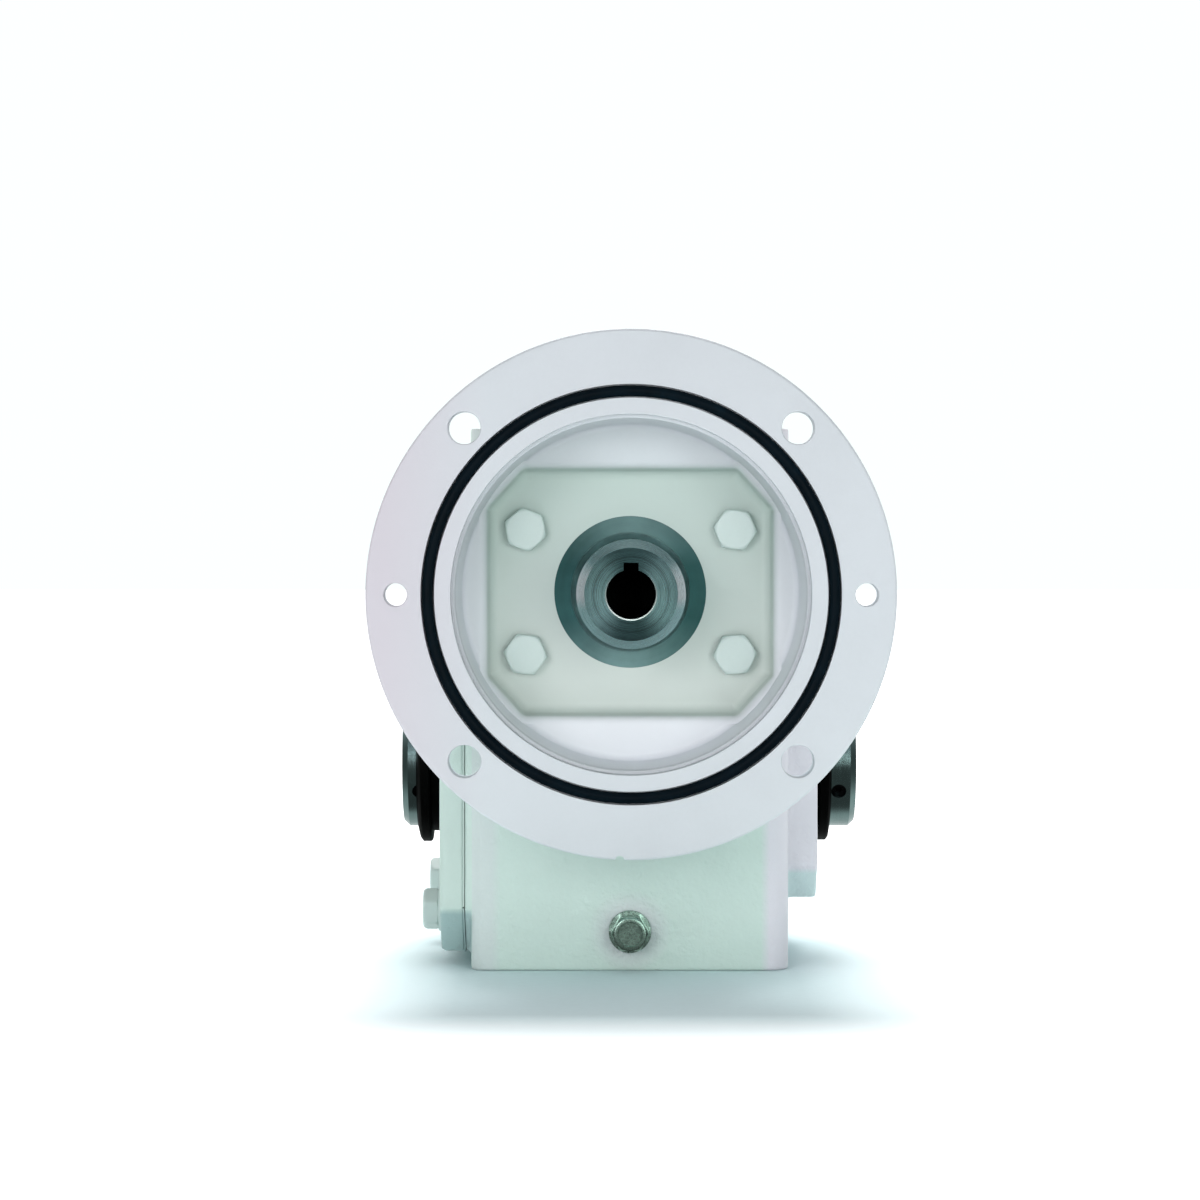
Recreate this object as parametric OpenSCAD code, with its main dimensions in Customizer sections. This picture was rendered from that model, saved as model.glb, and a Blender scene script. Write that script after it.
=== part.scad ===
// Right-angle worm gearbox with a hollow output shaft and a hollow motor input.
// Millimetres, +Z up. The output shaft runs along X through the origin.
// The motor flange faces -Y, and the worm lies above the worm wheel.

/* [Housing] */
// Width of the main casting between its side faces
body_w = 106; // [90:1:130]
// Front-to-back length of the main casting
body_l = 126; // [110:1:150]
// Height of the base face below the output axis
base_drop = 66; // [55:0.1:75]
// Height of the top face above the output axis
top_rise = 114.5; // [100:0.5:130]
// Distance from the origin to each outer side face
side_reach = 63.5; // [58:0.5:70]
// Half width of the left cover across its flats
cover_half = 61.4; // [58:0.1:63]
// Half width of the right boss across its flats
boss_half = 44.5; // [40:0.5:50]

/* [Gearing] */
// Distance between the worm axis and the output axis
centre_dist = 60.325; // [58:0.001:64]
// Axial module of the worm gearing
gear_module = 2; // [1.5:0.25:3]
// Number of worm threads
worm_starts = 2; // [1:1:4]
// Number of worm wheel teeth
wheel_teeth = 40; // [30:1:50]
// Flank angle of the worm thread in degrees
flank_angle = 20; // [14.5:0.5:25]
// Face width of the bronze rim
rim_w = 26; // [20:1:32]
// Flank clearance left on each side of a tooth
flank_gap = 0.12; // [0.08:0.01:0.3]

/* [Motor Flange] */
// Outside diameter of the motor flange
flange_d = 168.3; // [160:0.1:180]
// Distance of the flange face in front of the output axis
flange_y = 123; // [115:0.5:130]
// Thickness of the flange disc
flange_t = 11; // [9:0.5:14]
// Bolt circle of the flange
flange_pcd = 149.225; // [149:0.005:150]
// Diameter of the four motor bolt holes
flange_hole = 10.32; // [10:0.01:11]
// Diameter of the motor register
register_d = 114.3; // [114:0.1:115]
// Depth of the motor register
register_t = 5; // [4:0.5:7]

/* [Input] */
// Outside diameter of the hollow input end
quill_d = 35; // [32:0.5:38]
// Bore for the motor shaft
input_bore = 15.875; // [15:0.005:17]
// Width of the motor key
input_key = 4.76; // [4:0.01:6]
// Recess of the hollow input end behind the flange face
quill_set = 6; // [4:0.5:8]

/* [Output] */
// Overall length of the hollow output shaft
output_l = 156; // [150:1:170]
// Outside diameter of the hollow output shaft
output_d = 45; // [40:1:50]
// Bore of the hollow output shaft
output_bore = 28.575; // [25:0.005:30]
// Width of the output keyway
output_key = 6.35; // [6:0.05:8]
// Angle of the output keyway below the forward direction
key_angle = 24; // [0:1:90]

/* [Fasteners] */
// Diameter of the main hexagon screws
screw_d = 7.94; // [7:0.01:9]
// Width across flats of the main screw heads
screw_af = 12.7; // [12:0.1:14]
// Height of the main screw heads
screw_head = 5.3; // [5:0.1:6]
// Spacing of the base holes across the body
foot_x = 82.55; // [80:0.05:86]
// Spacing of the base holes from front to back
foot_y = 95.25; // [90:0.05:100]

/* [Hidden] */
$fn = 96;
wz = centre_dist;
hx = body_w / 2;
hy = body_l / 2;
front_y = -hy + 0.5;
pad_x = hx + 2.2;
gasket_t = 0.5;
cover_in = pad_x + gasket_t;
fit = 0.02;
// worm gearing
pitch_x = PI * gear_module;
lead = pitch_x * worm_starts;
wheel_r = gear_module * wheel_teeth / 2;
worm_r = centre_dist - wheel_r;
worm_tip = worm_r + gear_module;
worm_root = worm_r - 1.2 * gear_module;
tip_gap = 0.4;
flank_t = tan(flank_angle);
thread_half = pitch_x / 4 - flank_gap / 2;
space_half = pitch_x / 4 + flank_gap / 2;
thread_l = 62;
rim_r = 43.5;
rim_seat = 31;
tooth_pitch = 360 / wheel_teeth;
// input line, measured along Y
quill_y = -flange_y + quill_set;
seat_y = -73;
plate_y = -77;
floor_y = -83;
spigot_r = 34;
pocket_w = 46.7;
pocket_h = 40.4;
flange_screw_x = 34.4;
flange_screw_z = 20.5;
// output line, measured along X
bearing_x = 53;
bearing_w = 16;
seal_x = 55.2;
seal_w = 8;
opening_r = 46;
cover_screw_r = 54;
hub_seat_r = 24;
hub_w = 38;
set_x = 72;

paint = [0.86, 0.88, 0.90];
paint_b = [0.80, 0.85, 0.84];
steel = [0.55, 0.58, 0.60];
dark_steel = [0.40, 0.45, 0.47];
bright = [0.78, 0.78, 0.76];
black = [0.10, 0.10, 0.11];
bronze = [0.74, 0.55, 0.28];
iron = [0.36, 0.37, 0.38];
paper = [0.62, 0.60, 0.50];

// ---------- outlines ----------

// rectangle with its corners cut off by cx and cy
function cut_rect(hw, hh, cx, cy) = [
    [hw, -hh + cy], [hw, hh - cy], [hw - cx, hh], [-hw + cx, hh],
    [-hw, hh - cy], [-hw, -hh + cy], [-hw + cx, -hh], [hw - cx, -hh]];

// one rounded corner of radius r about the centre c, starting at angle a
function corner(c, r, a, n = 5) = [for (i = [0 : n])
    [c[0] + r * cos(a + 90 * i / n), c[1] + r * sin(a + 90 * i / n)]];

// rectangle from (x0, y0) to (x1, y1) with four corner radii, anticlockwise
function soft_rect(x0, y0, x1, y1, r) = concat(
    corner([x0 + r[0], y0 + r[0]], r[0], 180),
    corner([x1 - r[1], y0 + r[1]], r[1], 270),
    corner([x1 - r[2], y1 - r[2]], r[2], 0),
    corner([x0 + r[3], y1 - r[3]], r[3], 90));

// ---------- basic solids ----------

module cyl_x(r, x0, x1) {
    translate([x0, 0, 0]) rotate([0, 90, 0]) cylinder(r = r, h = x1 - x0);
}

module cyl_y(r, y0, y1) {
    translate([0, y0, 0]) rotate([-90, 0, 0]) cylinder(r = r, h = y1 - y0);
}

module cyl_z(r, z0, z1) {
    translate([0, 0, z0]) cylinder(r = r, h = z1 - z0);
}

// a turned ring about X between two radii
module ring_x(ri, ro, x0, x1) {
    difference() {
        cyl_x(ro, x0, x1);
        cyl_x(ri, x0 - 1, x1 + 1);
    }
}

// a turned ring about Y between two radii
module ring_y(ri, ro, y0, y1) {
    difference() {
        cyl_y(ro, y0, y1);
        cyl_y(ri, y0 - 1, y1 + 1);
    }
}

// a profile of [radius, position] points turned about X
module turn_x(points) {
    rotate([0, 90, 0]) rotate_extrude() polygon(points);
}

// a profile of [radius, position] points turned about Y
module turn_y(points) {
    rotate([-90, 0, 0]) rotate_extrude() polygon(points);
}

// a plate across X with an outline given as [y, z]
module plate_x(x0, x1, outline) {
    translate([x0, 0, 0]) rotate([90, 0, 90]) linear_extrude(x1 - x0) polygon(outline);
}

// a plate across Y with an outline given as [x, z]
module plate_y(y0, y1, outline) {
    translate([0, y1, 0]) rotate([90, 0, 0]) linear_extrude(y1 - y0) polygon(outline);
}

// moves its children onto the worm axis
module on_worm() {
    translate([0, 0, wz]) children();
}

// hexagon screw standing on z = 0 with its shank pointing down
module hex_screw(d, af, head, len, turn = 0, washer = 0) {
    rotate([0, 0, turn]) {
        intersection() {
            cylinder(r = af / 2 / cos(30), h = head, $fn = 6);
            cylinder(r1 = af * 0.575 + head * 1.2, r2 = af * 0.535, h = head);
        }
        if (washer > 0) cylinder(r = washer, h = 0.9);
        translate([0, 0, -len]) cylinder(r = d / 2, h = len + 0.5);
    }
}

// ---------- bearing pieces, about Z and centred on z = 0 ----------

module race_outer(od, dp, db, w) {
    rotate_extrude() difference() {
        translate([dp / 2 + db * 0.33, -w / 2]) square([od / 2 - dp / 2 - db * 0.33, w]);
        translate([dp / 2, 0]) circle(r = db / 2 + 0.04);
    }
}

module race_inner(id, dp, db, w) {
    rotate_extrude() difference() {
        translate([id / 2, -w / 2]) square([dp / 2 - db * 0.33 - id / 2, w]);
        translate([dp / 2, 0]) circle(r = db / 2 + 0.04);
    }
}

module ball_set(dp, db, n) {
    for (i = [0 : n - 1]) rotate([0, 0, i * 360 / n]) translate([dp / 2, 0, 0])
        sphere(d = db);
}

module ball_cage(dp, db, n) {
    difference() {
        translate([0, 0, -db * 0.56]) cylinder(r = dp / 2 + db * 0.2, h = db * 1.12);
        translate([0, 0, -db]) cylinder(r = dp / 2 - db * 0.2, h = db * 2);
        for (i = [0 : n - 1]) rotate([0, 0, i * 360 / n]) translate([dp / 2 - db, 0, 0])
            rotate([0, 90, 0]) cylinder(r = db / 2 + 0.08, h = db * 2);
    }
}

// sizes as [bore, outside, width, pitch diameter, ball diameter, number of balls]
front_brg = [quill_d, 62, 14, 48.5, 7.94, 11];
rear_brg = [20, 52, 15, 36, 9.525, 7];
out_brg = [output_d, 75, bearing_w, 60, 8.73, 12];
front_brg_y = -57;
rear_brg_y = 52.5;
out_brg_x = bearing_x - bearing_w / 2;

module at_front_brg() {
    on_worm() translate([0, front_brg_y, 0]) rotate([-90, 0, 0]) children();
}

module at_rear_brg() {
    on_worm() translate([0, rear_brg_y, 0]) rotate([-90, 0, 0]) children();
}

module at_left_brg() {
    translate([-out_brg_x, 0, 0]) rotate([0, 90, 0]) children();
}

module at_right_brg() {
    translate([out_brg_x, 0, 0]) rotate([0, 90, 0]) children();
}

// ---------- places of fasteners ----------

// left cover screws, in two pairs below and above the output axis
function cover_screws() = [for (a = [24, 144, 204, 324])
    [-cover_screw_r * sin(a), -cover_screw_r * cos(a)]];

function flange_screws() = [for (sx = [-1, 1]) for (sz = [-1, 1])
    [sx * flange_screw_x, wz + sz * flange_screw_z]];

function rear_screws() = [for (i = [0 : 3])
    [32 * cos(45 + 90 * i), wz + 32 * sin(45 + 90 * i)]];

function foot_holes() = [for (sx = [-1, 1]) for (sy = [-1, 1])
    [sx * foot_x / 2, sy * foot_y / 2]];

drain_pos = [0, front_y, -52.8];
level_pos = [0, hy, -6];
breather_pos = [0, 22, top_rise];
plate_pos = [hx, 4, 80];

// ---------- housing ----------

module housing_outer() {
    translate([0, 0, -base_drop]) linear_extrude(base_drop + top_rise)
        polygon(soft_rect(-hx, front_y, hx, hy, [4, 6.7, 6.7, 4]));
    // left pad under the side cover
    plate_x(-pad_x, -hx + 1, cut_rect(cover_half, cover_half, 16, 16));
    // right boss round the output bearing
    plate_x(hx - 1, side_reach, cut_rect(boss_half, boss_half, 12, 12));
}

module housing_core() {
    // oil space round the wheel and the worm
    translate([0, 0, -57]) linear_extrude(90)
        polygon(soft_rect(-34, -51.5, 34, 51.5, [9, 9, 9, 9]));
    translate([0, 0, 20]) linear_extrude(86)
        polygon(soft_rect(-29, -51.5, 29, 51.5, [9, 9, 9, 9]));
}

module housing() {
    color(paint) difference() {
        union() {
            difference() {
                housing_outer();
                housing_core();
            }
            // inner boss round the rear worm bearing
            on_worm() cyl_y(31, 42, hy - 4);
        }
        // left opening and right bearing seat
        cyl_x(opening_r + fit, -pad_x - 1, -25);
        cyl_x(out_brg[1] / 2, 25, bearing_x);
        cyl_x(31, bearing_x - 1, side_reach + 1);
        // front spigot bore and rear bearing seat
        on_worm() cyl_y(spigot_r + fit, front_y - 1, -45);
        on_worm() cyl_y(rear_brg[1] / 2, 40, hy + 1);
        for (p = cover_screws()) translate([0, p[0], p[1]])
            cyl_x(screw_d / 2 + fit, -pad_x - 1, -38);
        for (p = flange_screws()) translate([p[0], 0, p[1]])
            cyl_y(screw_d / 2 + fit, front_y - 1, front_y + 19);
        for (p = rear_screws()) translate([p[0], 0, p[1]])
            cyl_y(3.17 + fit, hy - 12, hy + 1);
        for (p = foot_holes()) translate([p[0], p[1], 0]) {
            cyl_z(screw_d / 2, -base_drop - 1, -base_drop + 15);
            cyl_z(screw_d / 2, top_rise - 15, top_rise + 1);
        }
        translate([drain_pos[0], 0, drain_pos[2]]) cyl_y(4.9 + fit, front_y - 1, -45);
        translate([level_pos[0], 0, level_pos[2]]) cyl_y(4.9 + fit, 45, hy + 1);
        translate([breather_pos[0], breather_pos[1], 0]) cyl_z(4.9 + fit, 100, top_rise + 1);
        for (sy = [-1, 1]) translate([0, plate_pos[1] + sy * 27, plate_pos[2]])
            cyl_x(1.2, hx - 6, hx + 1);
    }
}

// ---------- motor flange ----------

module motor_flange() {
    fy = -flange_y;
    color(paint) difference() {
        union() {
            on_worm() turn_y([[0, fy], [flange_d / 2 - 0.8, fy], [flange_d / 2, fy + 0.8],
                [flange_d / 2, fy + flange_t - 0.8], [flange_d / 2 - 0.8, fy + flange_t],
                [68, fy + flange_t], [62.6, fy + flange_t + 6], [61, plate_y + 1], [0, plate_y + 1]]);
            on_worm() plate_y(plate_y, -hy, cut_rect(hx, 46, 13, 14));
            on_worm() cyl_y(spigot_r, -hy - 1, -46.5);
        }
        // cup with the motor register at its mouth
        on_worm() turn_y([[0, fy - 1], [register_d / 2, fy - 1], [register_d / 2, fy + register_t],
            [56, fy + register_t], [55, floor_y], [0, floor_y]]);
        on_worm() plate_y(floor_y - 1, seat_y, cut_rect(pocket_w, pocket_h, 11.7, 13));
        // oil seal bore, bearing seat and snap ring groove
        on_worm() cyl_y(25, seat_y - 1, -63);
        on_worm() cyl_y(front_brg[1] / 2, -64, -45);
        on_worm() cyl_y(32.3, -50, -48.4);
        // face groove for the o-ring
        on_worm() ring_y(62.4, 66.6, fy - 1, fy + 2.75);
        for (p = flange_screws()) translate([p[0], 0, p[1]]) cyl_y(4.2, seat_y - 1, -50);
        on_worm() for (a = [45 : 90 : 315]) rotate([0, a, 0]) translate([flange_pcd / 2, 0, 0])
            cyl_y(flange_hole / 2, fy - 1, fy + flange_t + 2);
        on_worm() for (a = [0, 180]) rotate([0, a, 0]) translate([flange_pcd / 2, 0, 0])
            cyl_y(3.65, fy - 1, fy + flange_t + 2);
        // drain notch at the lowest point of the rim
        translate([-3.6, 0, wz - flange_d / 2]) cyl_y(1.5, fy - 1, fy + flange_t + 1);
    }
}

module flange_gasket() {
    color(paper) difference() {
        on_worm() plate_y(-hy, front_y, cut_rect(hx - 0.6, 45.4, 13, 14));
        on_worm() cyl_y(spigot_r + 0.3, -hy - 1, front_y + 1);
        for (p = flange_screws()) translate([p[0], 0, p[1]]) cyl_y(4.3, -hy - 1, front_y + 1);
    }
}

module flange_o_ring() {
    color(black) on_worm() translate([0, -flange_y + 0.96, 0]) rotate([-90, 0, 0])
        rotate_extrude() translate([64.5, 0]) circle(d = 3.53, $fn = 32);
}

module flange_bolts() {
    turns = [53, 40, 4, 54];
    color(paint) for (i = [0 : 3]) translate([flange_screws()[i][0], seat_y, flange_screws()[i][1]])
        rotate([90, 0, 0]) hex_screw(screw_d, screw_af, screw_head, 26, turns[i]);
}

module input_seal_case() {
    color(steel) on_worm() turn_y([[19.6, seat_y], [25, seat_y], [25, seat_y + 8],
        [23.8, seat_y + 8], [23.8, seat_y + 1.2], [19.6, seat_y + 1.2]]);
}

module input_seal_lip() {
    color(black) on_worm() turn_y([[17.55, seat_y + 3.4], [19.2, seat_y + 1.3],
        [23.7, seat_y + 1.3], [23.7, seat_y + 6.8], [21.6, seat_y + 6.8],
        [21.6, seat_y + 3.4], [19.4, seat_y + 3.4], [18.7, seat_y + 6.4], [17.55, seat_y + 5.4]]);
}

module front_bearing_outer_race() {
    color(steel) at_front_brg() race_outer(front_brg[1], front_brg[3], front_brg[4], front_brg[2]);
}

module front_bearing_inner_race() {
    color(steel) at_front_brg() race_inner(front_brg[0], front_brg[3], front_brg[4], front_brg[2]);
}

module front_bearing_balls() {
    color(bright) at_front_brg() ball_set(front_brg[3], front_brg[4], front_brg[5]);
}

module front_bearing_cage() {
    color(bronze) at_front_brg() ball_cage(front_brg[3], front_brg[4], front_brg[5]);
}

module front_snap_ring() {
    color(dark_steel) on_worm() difference() {
        ring_y(28.2, 32.2, -50, -48.5);
        translate([-4, -52, 26]) cube([8, 6, 8]);
    }
}

module rear_bearing_outer_race() {
    color(steel) at_rear_brg() race_outer(rear_brg[1], rear_brg[3], rear_brg[4], rear_brg[2]);
}

module rear_bearing_inner_race() {
    color(steel) at_rear_brg() race_inner(rear_brg[0], rear_brg[3], rear_brg[4], rear_brg[2]);
}

module rear_bearing_balls() {
    color(bright) at_rear_brg() ball_set(rear_brg[3], rear_brg[4], rear_brg[5]);
}

module rear_bearing_cage() {
    color(bronze) at_rear_brg() ball_cage(rear_brg[3], rear_brg[4], rear_brg[5]);
}

module rear_snap_ring() {
    color(dark_steel) on_worm() difference() {
        ring_y(9.5, 11.8, 60, 61.2);
        translate([-3, 59, 5]) cube([6, 4, 8]);
    }
}

// ---------- worm ----------

// radius of the worm at angle a from the middle of a thread, in a plane across its axis
function worm_profile(a) =
    max(worm_root, min(worm_tip, worm_r + (thread_half - lead * abs(a) / 360) / flank_t));

// one thread with its share of the root: angles from the middle of the thread
tip_half = 360 / lead * (thread_half - (worm_tip - worm_r) * flank_t);
root_half = 360 / lead * (thread_half + (worm_r - worm_root) * flank_t);
thread_angles = concat(
    [for (i = [0 : 3]) -root_half + (root_half - tip_half) * i / 3],
    [for (i = [0 : 3]) i == 0 ? 0 : tip_half + (root_half - tip_half) * (i - 1) / 3],
    [root_half],
    [for (i = [1, 2]) root_half + (360 / worm_starts - 2 * root_half) * i / 3]);

// threaded length of the worm: the section turned along the helix, its height falling
// away at both ends
module worm_screw() {
    n = 118;
    m = len(thread_angles) * worm_starts;
    points = [for (i = [0 : n])
        let (y = thread_l * (i / n - 0.5), rise = min(1, min(i, n - i) / 6))
        each [for (s = [0 : worm_starts - 1]) each [for (a = thread_angles)
            let (b = a + s * 360 / worm_starts - 360 * y / lead,
                r = worm_root + (worm_profile(a) - worm_root) * rise)
            [r * sin(b), y, -r * cos(b)]]]];
    sides = [for (i = [0 : n - 1]) for (k = [0 : m - 1])
        let (a = m * i + k, b = m * i + (k + 1) % m)
        each [[a, b, b + m], [a, b + m, a + m]]];
    polyhedron(points, concat(sides,
        [[for (k = [0 : m - 1]) m - 1 - k]], [[for (k = [0 : m - 1]) m * n + k]]));
}

module worm_shaft() {
    q = quill_d / 2;
    color(steel) on_worm() difference() {
        union() {
            turn_y([[0, quill_y], [14.8, quill_y], [q, quill_y + 2.4], [q, -50], [20.5, -50],
                [20.5, -42], [16.9, -39], [16.9, 36], [13.5, 40], [13.5, 45], [10, 45],
                [10, 60], [9.4, 60], [9.4, 61.3], [10, 61.3], [10, 62.4], [9.4, 63], [0, 63]]);
            worm_screw();
        }
        cyl_y(input_bore / 2, quill_y - 1, quill_y + 53);
        translate([-input_key / 2, quill_y - 1, 0]) cube([input_key, 50, 10.07]);
    }
}

// ---------- rear cover ----------

module rear_cover() {
    color(paint) difference() {
        on_worm() turn_y([[0, 70], [36.5, 70], [38, 68.5], [38, hy + gasket_t],
            [25.95, hy + gasket_t], [25.95, 60.2], [21, 60.2], [21, 66], [0, 66]]);
        for (p = rear_screws()) translate([p[0], 0, p[1]]) cyl_y(3.4, hy, 71);
    }
}

module rear_cover_gasket() {
    color(paper) difference() {
        on_worm() ring_y(26.2, 37.6, hy, hy + gasket_t);
        for (p = rear_screws()) translate([p[0], 0, p[1]]) cyl_y(3.5, hy - 1, 71);
    }
}

module rear_cover_bolts() {
    color(paint) for (i = [0 : 3]) translate([rear_screws()[i][0], 70, rear_screws()[i][1]])
        rotate([-90, 0, 0]) hex_screw(6.34, 11.1, 4.4, 17, 30 - i * 17);
}

// ---------- left side cover ----------

module side_cover() {
    c = cover_half;
    color(paint_b) difference() {
        union() {
            plate_x(-side_reach + 1.2, -cover_in, cut_rect(c, c, 16, 16));
            plate_x(-side_reach, -side_reach + 1.2, cut_rect(c - 0.8, c - 0.8, 14.8, 14.8));
            cyl_x(opening_r - fit, -cover_in - 1, -36.5);
        }
        cyl_x(out_brg[1] / 2, -bearing_x, -30);
        cyl_x(31, -side_reach - 1, -bearing_x + 1);
        for (p = cover_screws()) translate([0, p[0], p[1]]) cyl_x(4.2, -side_reach - 1, -50);
    }
}

module side_cover_gasket() {
    c = cover_half - 0.6;
    color(paper) difference() {
        plate_x(-cover_in, -pad_x, cut_rect(c, c, 16, 16));
        cyl_x(opening_r + 0.3, -cover_in - 1, -pad_x + 1);
        for (p = cover_screws()) translate([0, p[0], p[1]]) cyl_x(4.3, -cover_in - 1, -pad_x + 1);
    }
}

module side_cover_bolts() {
    turns = [-7, -24, -7, -3];
    color(paint_b) for (i = [0 : 3])
        translate([-side_reach - 1.8, cover_screws()[i][0], cover_screws()[i][1]])
        rotate([0, -90, 0]) hex_screw(screw_d, screw_af, screw_head, 25, turns[i]);
}

module side_cover_washers() {
    color(paint_b) for (p = cover_screws()) translate([0, p[0], p[1]])
        ring_x(4.1, 7.6, -side_reach - 1.8, -side_reach);
}

// ---------- output bearings and seals ----------

module left_bearing_outer_race() {
    color(steel) at_left_brg() race_outer(out_brg[1], out_brg[3], out_brg[4], out_brg[2]);
}

module left_bearing_inner_race() {
    color(steel) at_left_brg() race_inner(out_brg[0], out_brg[3], out_brg[4], out_brg[2]);
}

module left_bearing_balls() {
    color(bright) at_left_brg() ball_set(out_brg[3], out_brg[4], out_brg[5]);
}

module left_bearing_cage() {
    color(bronze) at_left_brg() ball_cage(out_brg[3], out_brg[4], out_brg[5]);
}

module right_bearing_outer_race() {
    color(steel) at_right_brg() race_outer(out_brg[1], out_brg[3], out_brg[4], out_brg[2]);
}

module right_bearing_inner_race() {
    color(steel) at_right_brg() race_inner(out_brg[0], out_brg[3], out_brg[4], out_brg[2]);
}

module right_bearing_balls() {
    color(bright) at_right_brg() ball_set(out_brg[3], out_brg[4], out_brg[5]);
}

module right_bearing_cage() {
    color(bronze) at_right_brg() ball_cage(out_brg[3], out_brg[4], out_brg[5]);
}

// steel case of an output seal, its closed face outward at x
module seal_case(x) {
    turn_x([[24.5, x], [31, x], [31, x - seal_w], [29.8, x - seal_w],
        [29.8, x - 1.2], [24.5, x - 1.2]]);
}

module seal_lip(x) {
    r = output_d / 2 + 0.05;
    turn_x([[r, x - 3.4], [r + 1.6, x - 1.3], [29.7, x - 1.3], [29.7, x - 6.8], [27, x - 6.8],
        [27, x - 3.4], [r + 1.9, x - 3.4], [r + 1.2, x - 6.4], [r, x - 5.4]]);
}

module left_seal_case() {
    color(dark_steel) mirror([1, 0, 0]) seal_case(side_reach - 0.3);
}

module left_seal_lip() {
    color(black) mirror([1, 0, 0]) seal_lip(side_reach - 0.3);
}

module right_seal_case() {
    color(dark_steel) seal_case(side_reach - 0.3);
}

module right_seal_lip() {
    color(black) seal_lip(side_reach - 0.3);
}

module left_v_ring() {
    r = output_d / 2;
    color(black) turn_x([[r, -63.9], [r, -73.1], [r + 1.2, -73.1], [27.4, -72.2], [27.9, -71.5],
        [27.9, -68.7], [27.3, -68.1], [24.2, -68.1], [24.2, -64.6], [23.5, -63.9]]);
}

module right_v_ring() {
    r = output_d / 2;
    color(black) turn_x([[r, 64.3], [r, 69.4], [r + 1.2, 69.4], [26.8, 68.8], [27.4, 68.1],
        [27.4, 65.6], [26.8, 65], [24.6, 64.6], [23.6, 64.3]]);
}

// ---------- output shaft and worm wheel ----------

// turns its children so that their +Z points along the output keyway
module at_output_key() {
    rotate([key_angle + 90, 0, 0]) children();
}

// radial places of the four set screws, along +Z of each
module at_set_screws() {
    for (sx = [-1, 1]) for (a = [0, 90]) rotate([key_angle + 90 - a, 0, 0])
        translate([sx * set_x, 0, 0]) children();
}

module output_shaft() {
    r = output_d / 2;
    e = output_l / 2;
    h = hub_w / 2;
    color(steel) difference() {
        turn_x([[output_bore / 2, -e + 0.6], [output_bore / 2 + 0.6, -e], [r - 1.8, -e], [r, -e + 2],
            [r, -h], [hub_seat_r, -h], [hub_seat_r, h], [27.5, h], [27.5, h + 3], [r, h + 3],
            [r, e - 2], [r - 1.8, e], [output_bore / 2 + 0.6, e], [output_bore / 2, e - 0.6]]);
        at_output_key() translate([-e - 1, -output_key / 2, 0]) cube([output_l + 2, output_key, 17.25]);
        at_set_screws() cylinder(r = 2.57, h = 30);
        rotate([key_angle - 90, 0, 0]) translate([-14, -6, 19]) cube([28, 12, 10]);
    }
}

module set_screws() {
    color(dark_steel) for (sx = [-1, 1]) for (a = [0, 90])
        rotate([key_angle + 90 - a, 0, 0]) translate([sx * set_x, 0, 0])
        difference() {
            translate([0, 0, a == 0 ? 17.35 : 15.6]) cylinder(r = 2.55, h = a == 0 ? 3.4 : 4.6);
            translate([0, 0, a == 0 ? 18.9 : 17.9]) cylinder(r = 1.45, h = 9, $fn = 6);
        }
}

module wheel_key() {
    color(steel) rotate([key_angle - 90, 0, 0]) translate([-14, -6, 19]) cube([28, 12, 8]);
}

module worm_wheel_hub() {
    h = hub_w / 2;
    color(iron) difference() {
        union() {
            cyl_x(rim_seat, -rim_w / 2, rim_w / 2);
            cyl_x(29.4, -h, h);
        }
        cyl_x(hub_seat_r, -h - 1, h + 1);
        rotate([key_angle - 90, 0, 0]) translate([-h - 1, -6, 20]) cube([hub_w + 2, 12, 7.3]);
    }
}

// radius of the tooth space floor and of the tooth tip at distance w from the wheel centre
function space_root(w) = centre_dist - sqrt(pow(worm_tip + tip_gap, 2) - w * w);
function tooth_tip(w) = min(rim_r, centre_dist - sqrt(pow(worm_root + tip_gap, 2) - w * w));

// axial place of a thread flank at depth h below the worm axis, in the plane x = w
function flank_y(h, w, s) = s * (space_half - (sqrt(w * w + h * h) - worm_r) * flank_t)
    - lead * atan2(w, h) / 360;

// wheel angle swept clear by the flank at radius r in the plane x = w, in degrees:
// the furthest that the flank reaches while the worm and the wheel turn together
function flank_psi(r, w, s) =
    let (low = centre_dist - sqrt(pow(worm_tip, 2) - w * w), rr = max(r, low + 0.02),
        lim = min(20, acos(min(1, low / rr))))
    s * max([for (i = [-14 : 14]) let (f = lim * i / 14, h = centre_dist - rr * cos(f))
        s * (f - (rr * sin(f) - flank_y(h, w, s)) * 180 / PI / wheel_r)]);

rim_slices = [for (i = [-3 : 3]) rim_w / 6 * i];
flank_steps = [0, 0.34, 0.68, 1];

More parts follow.
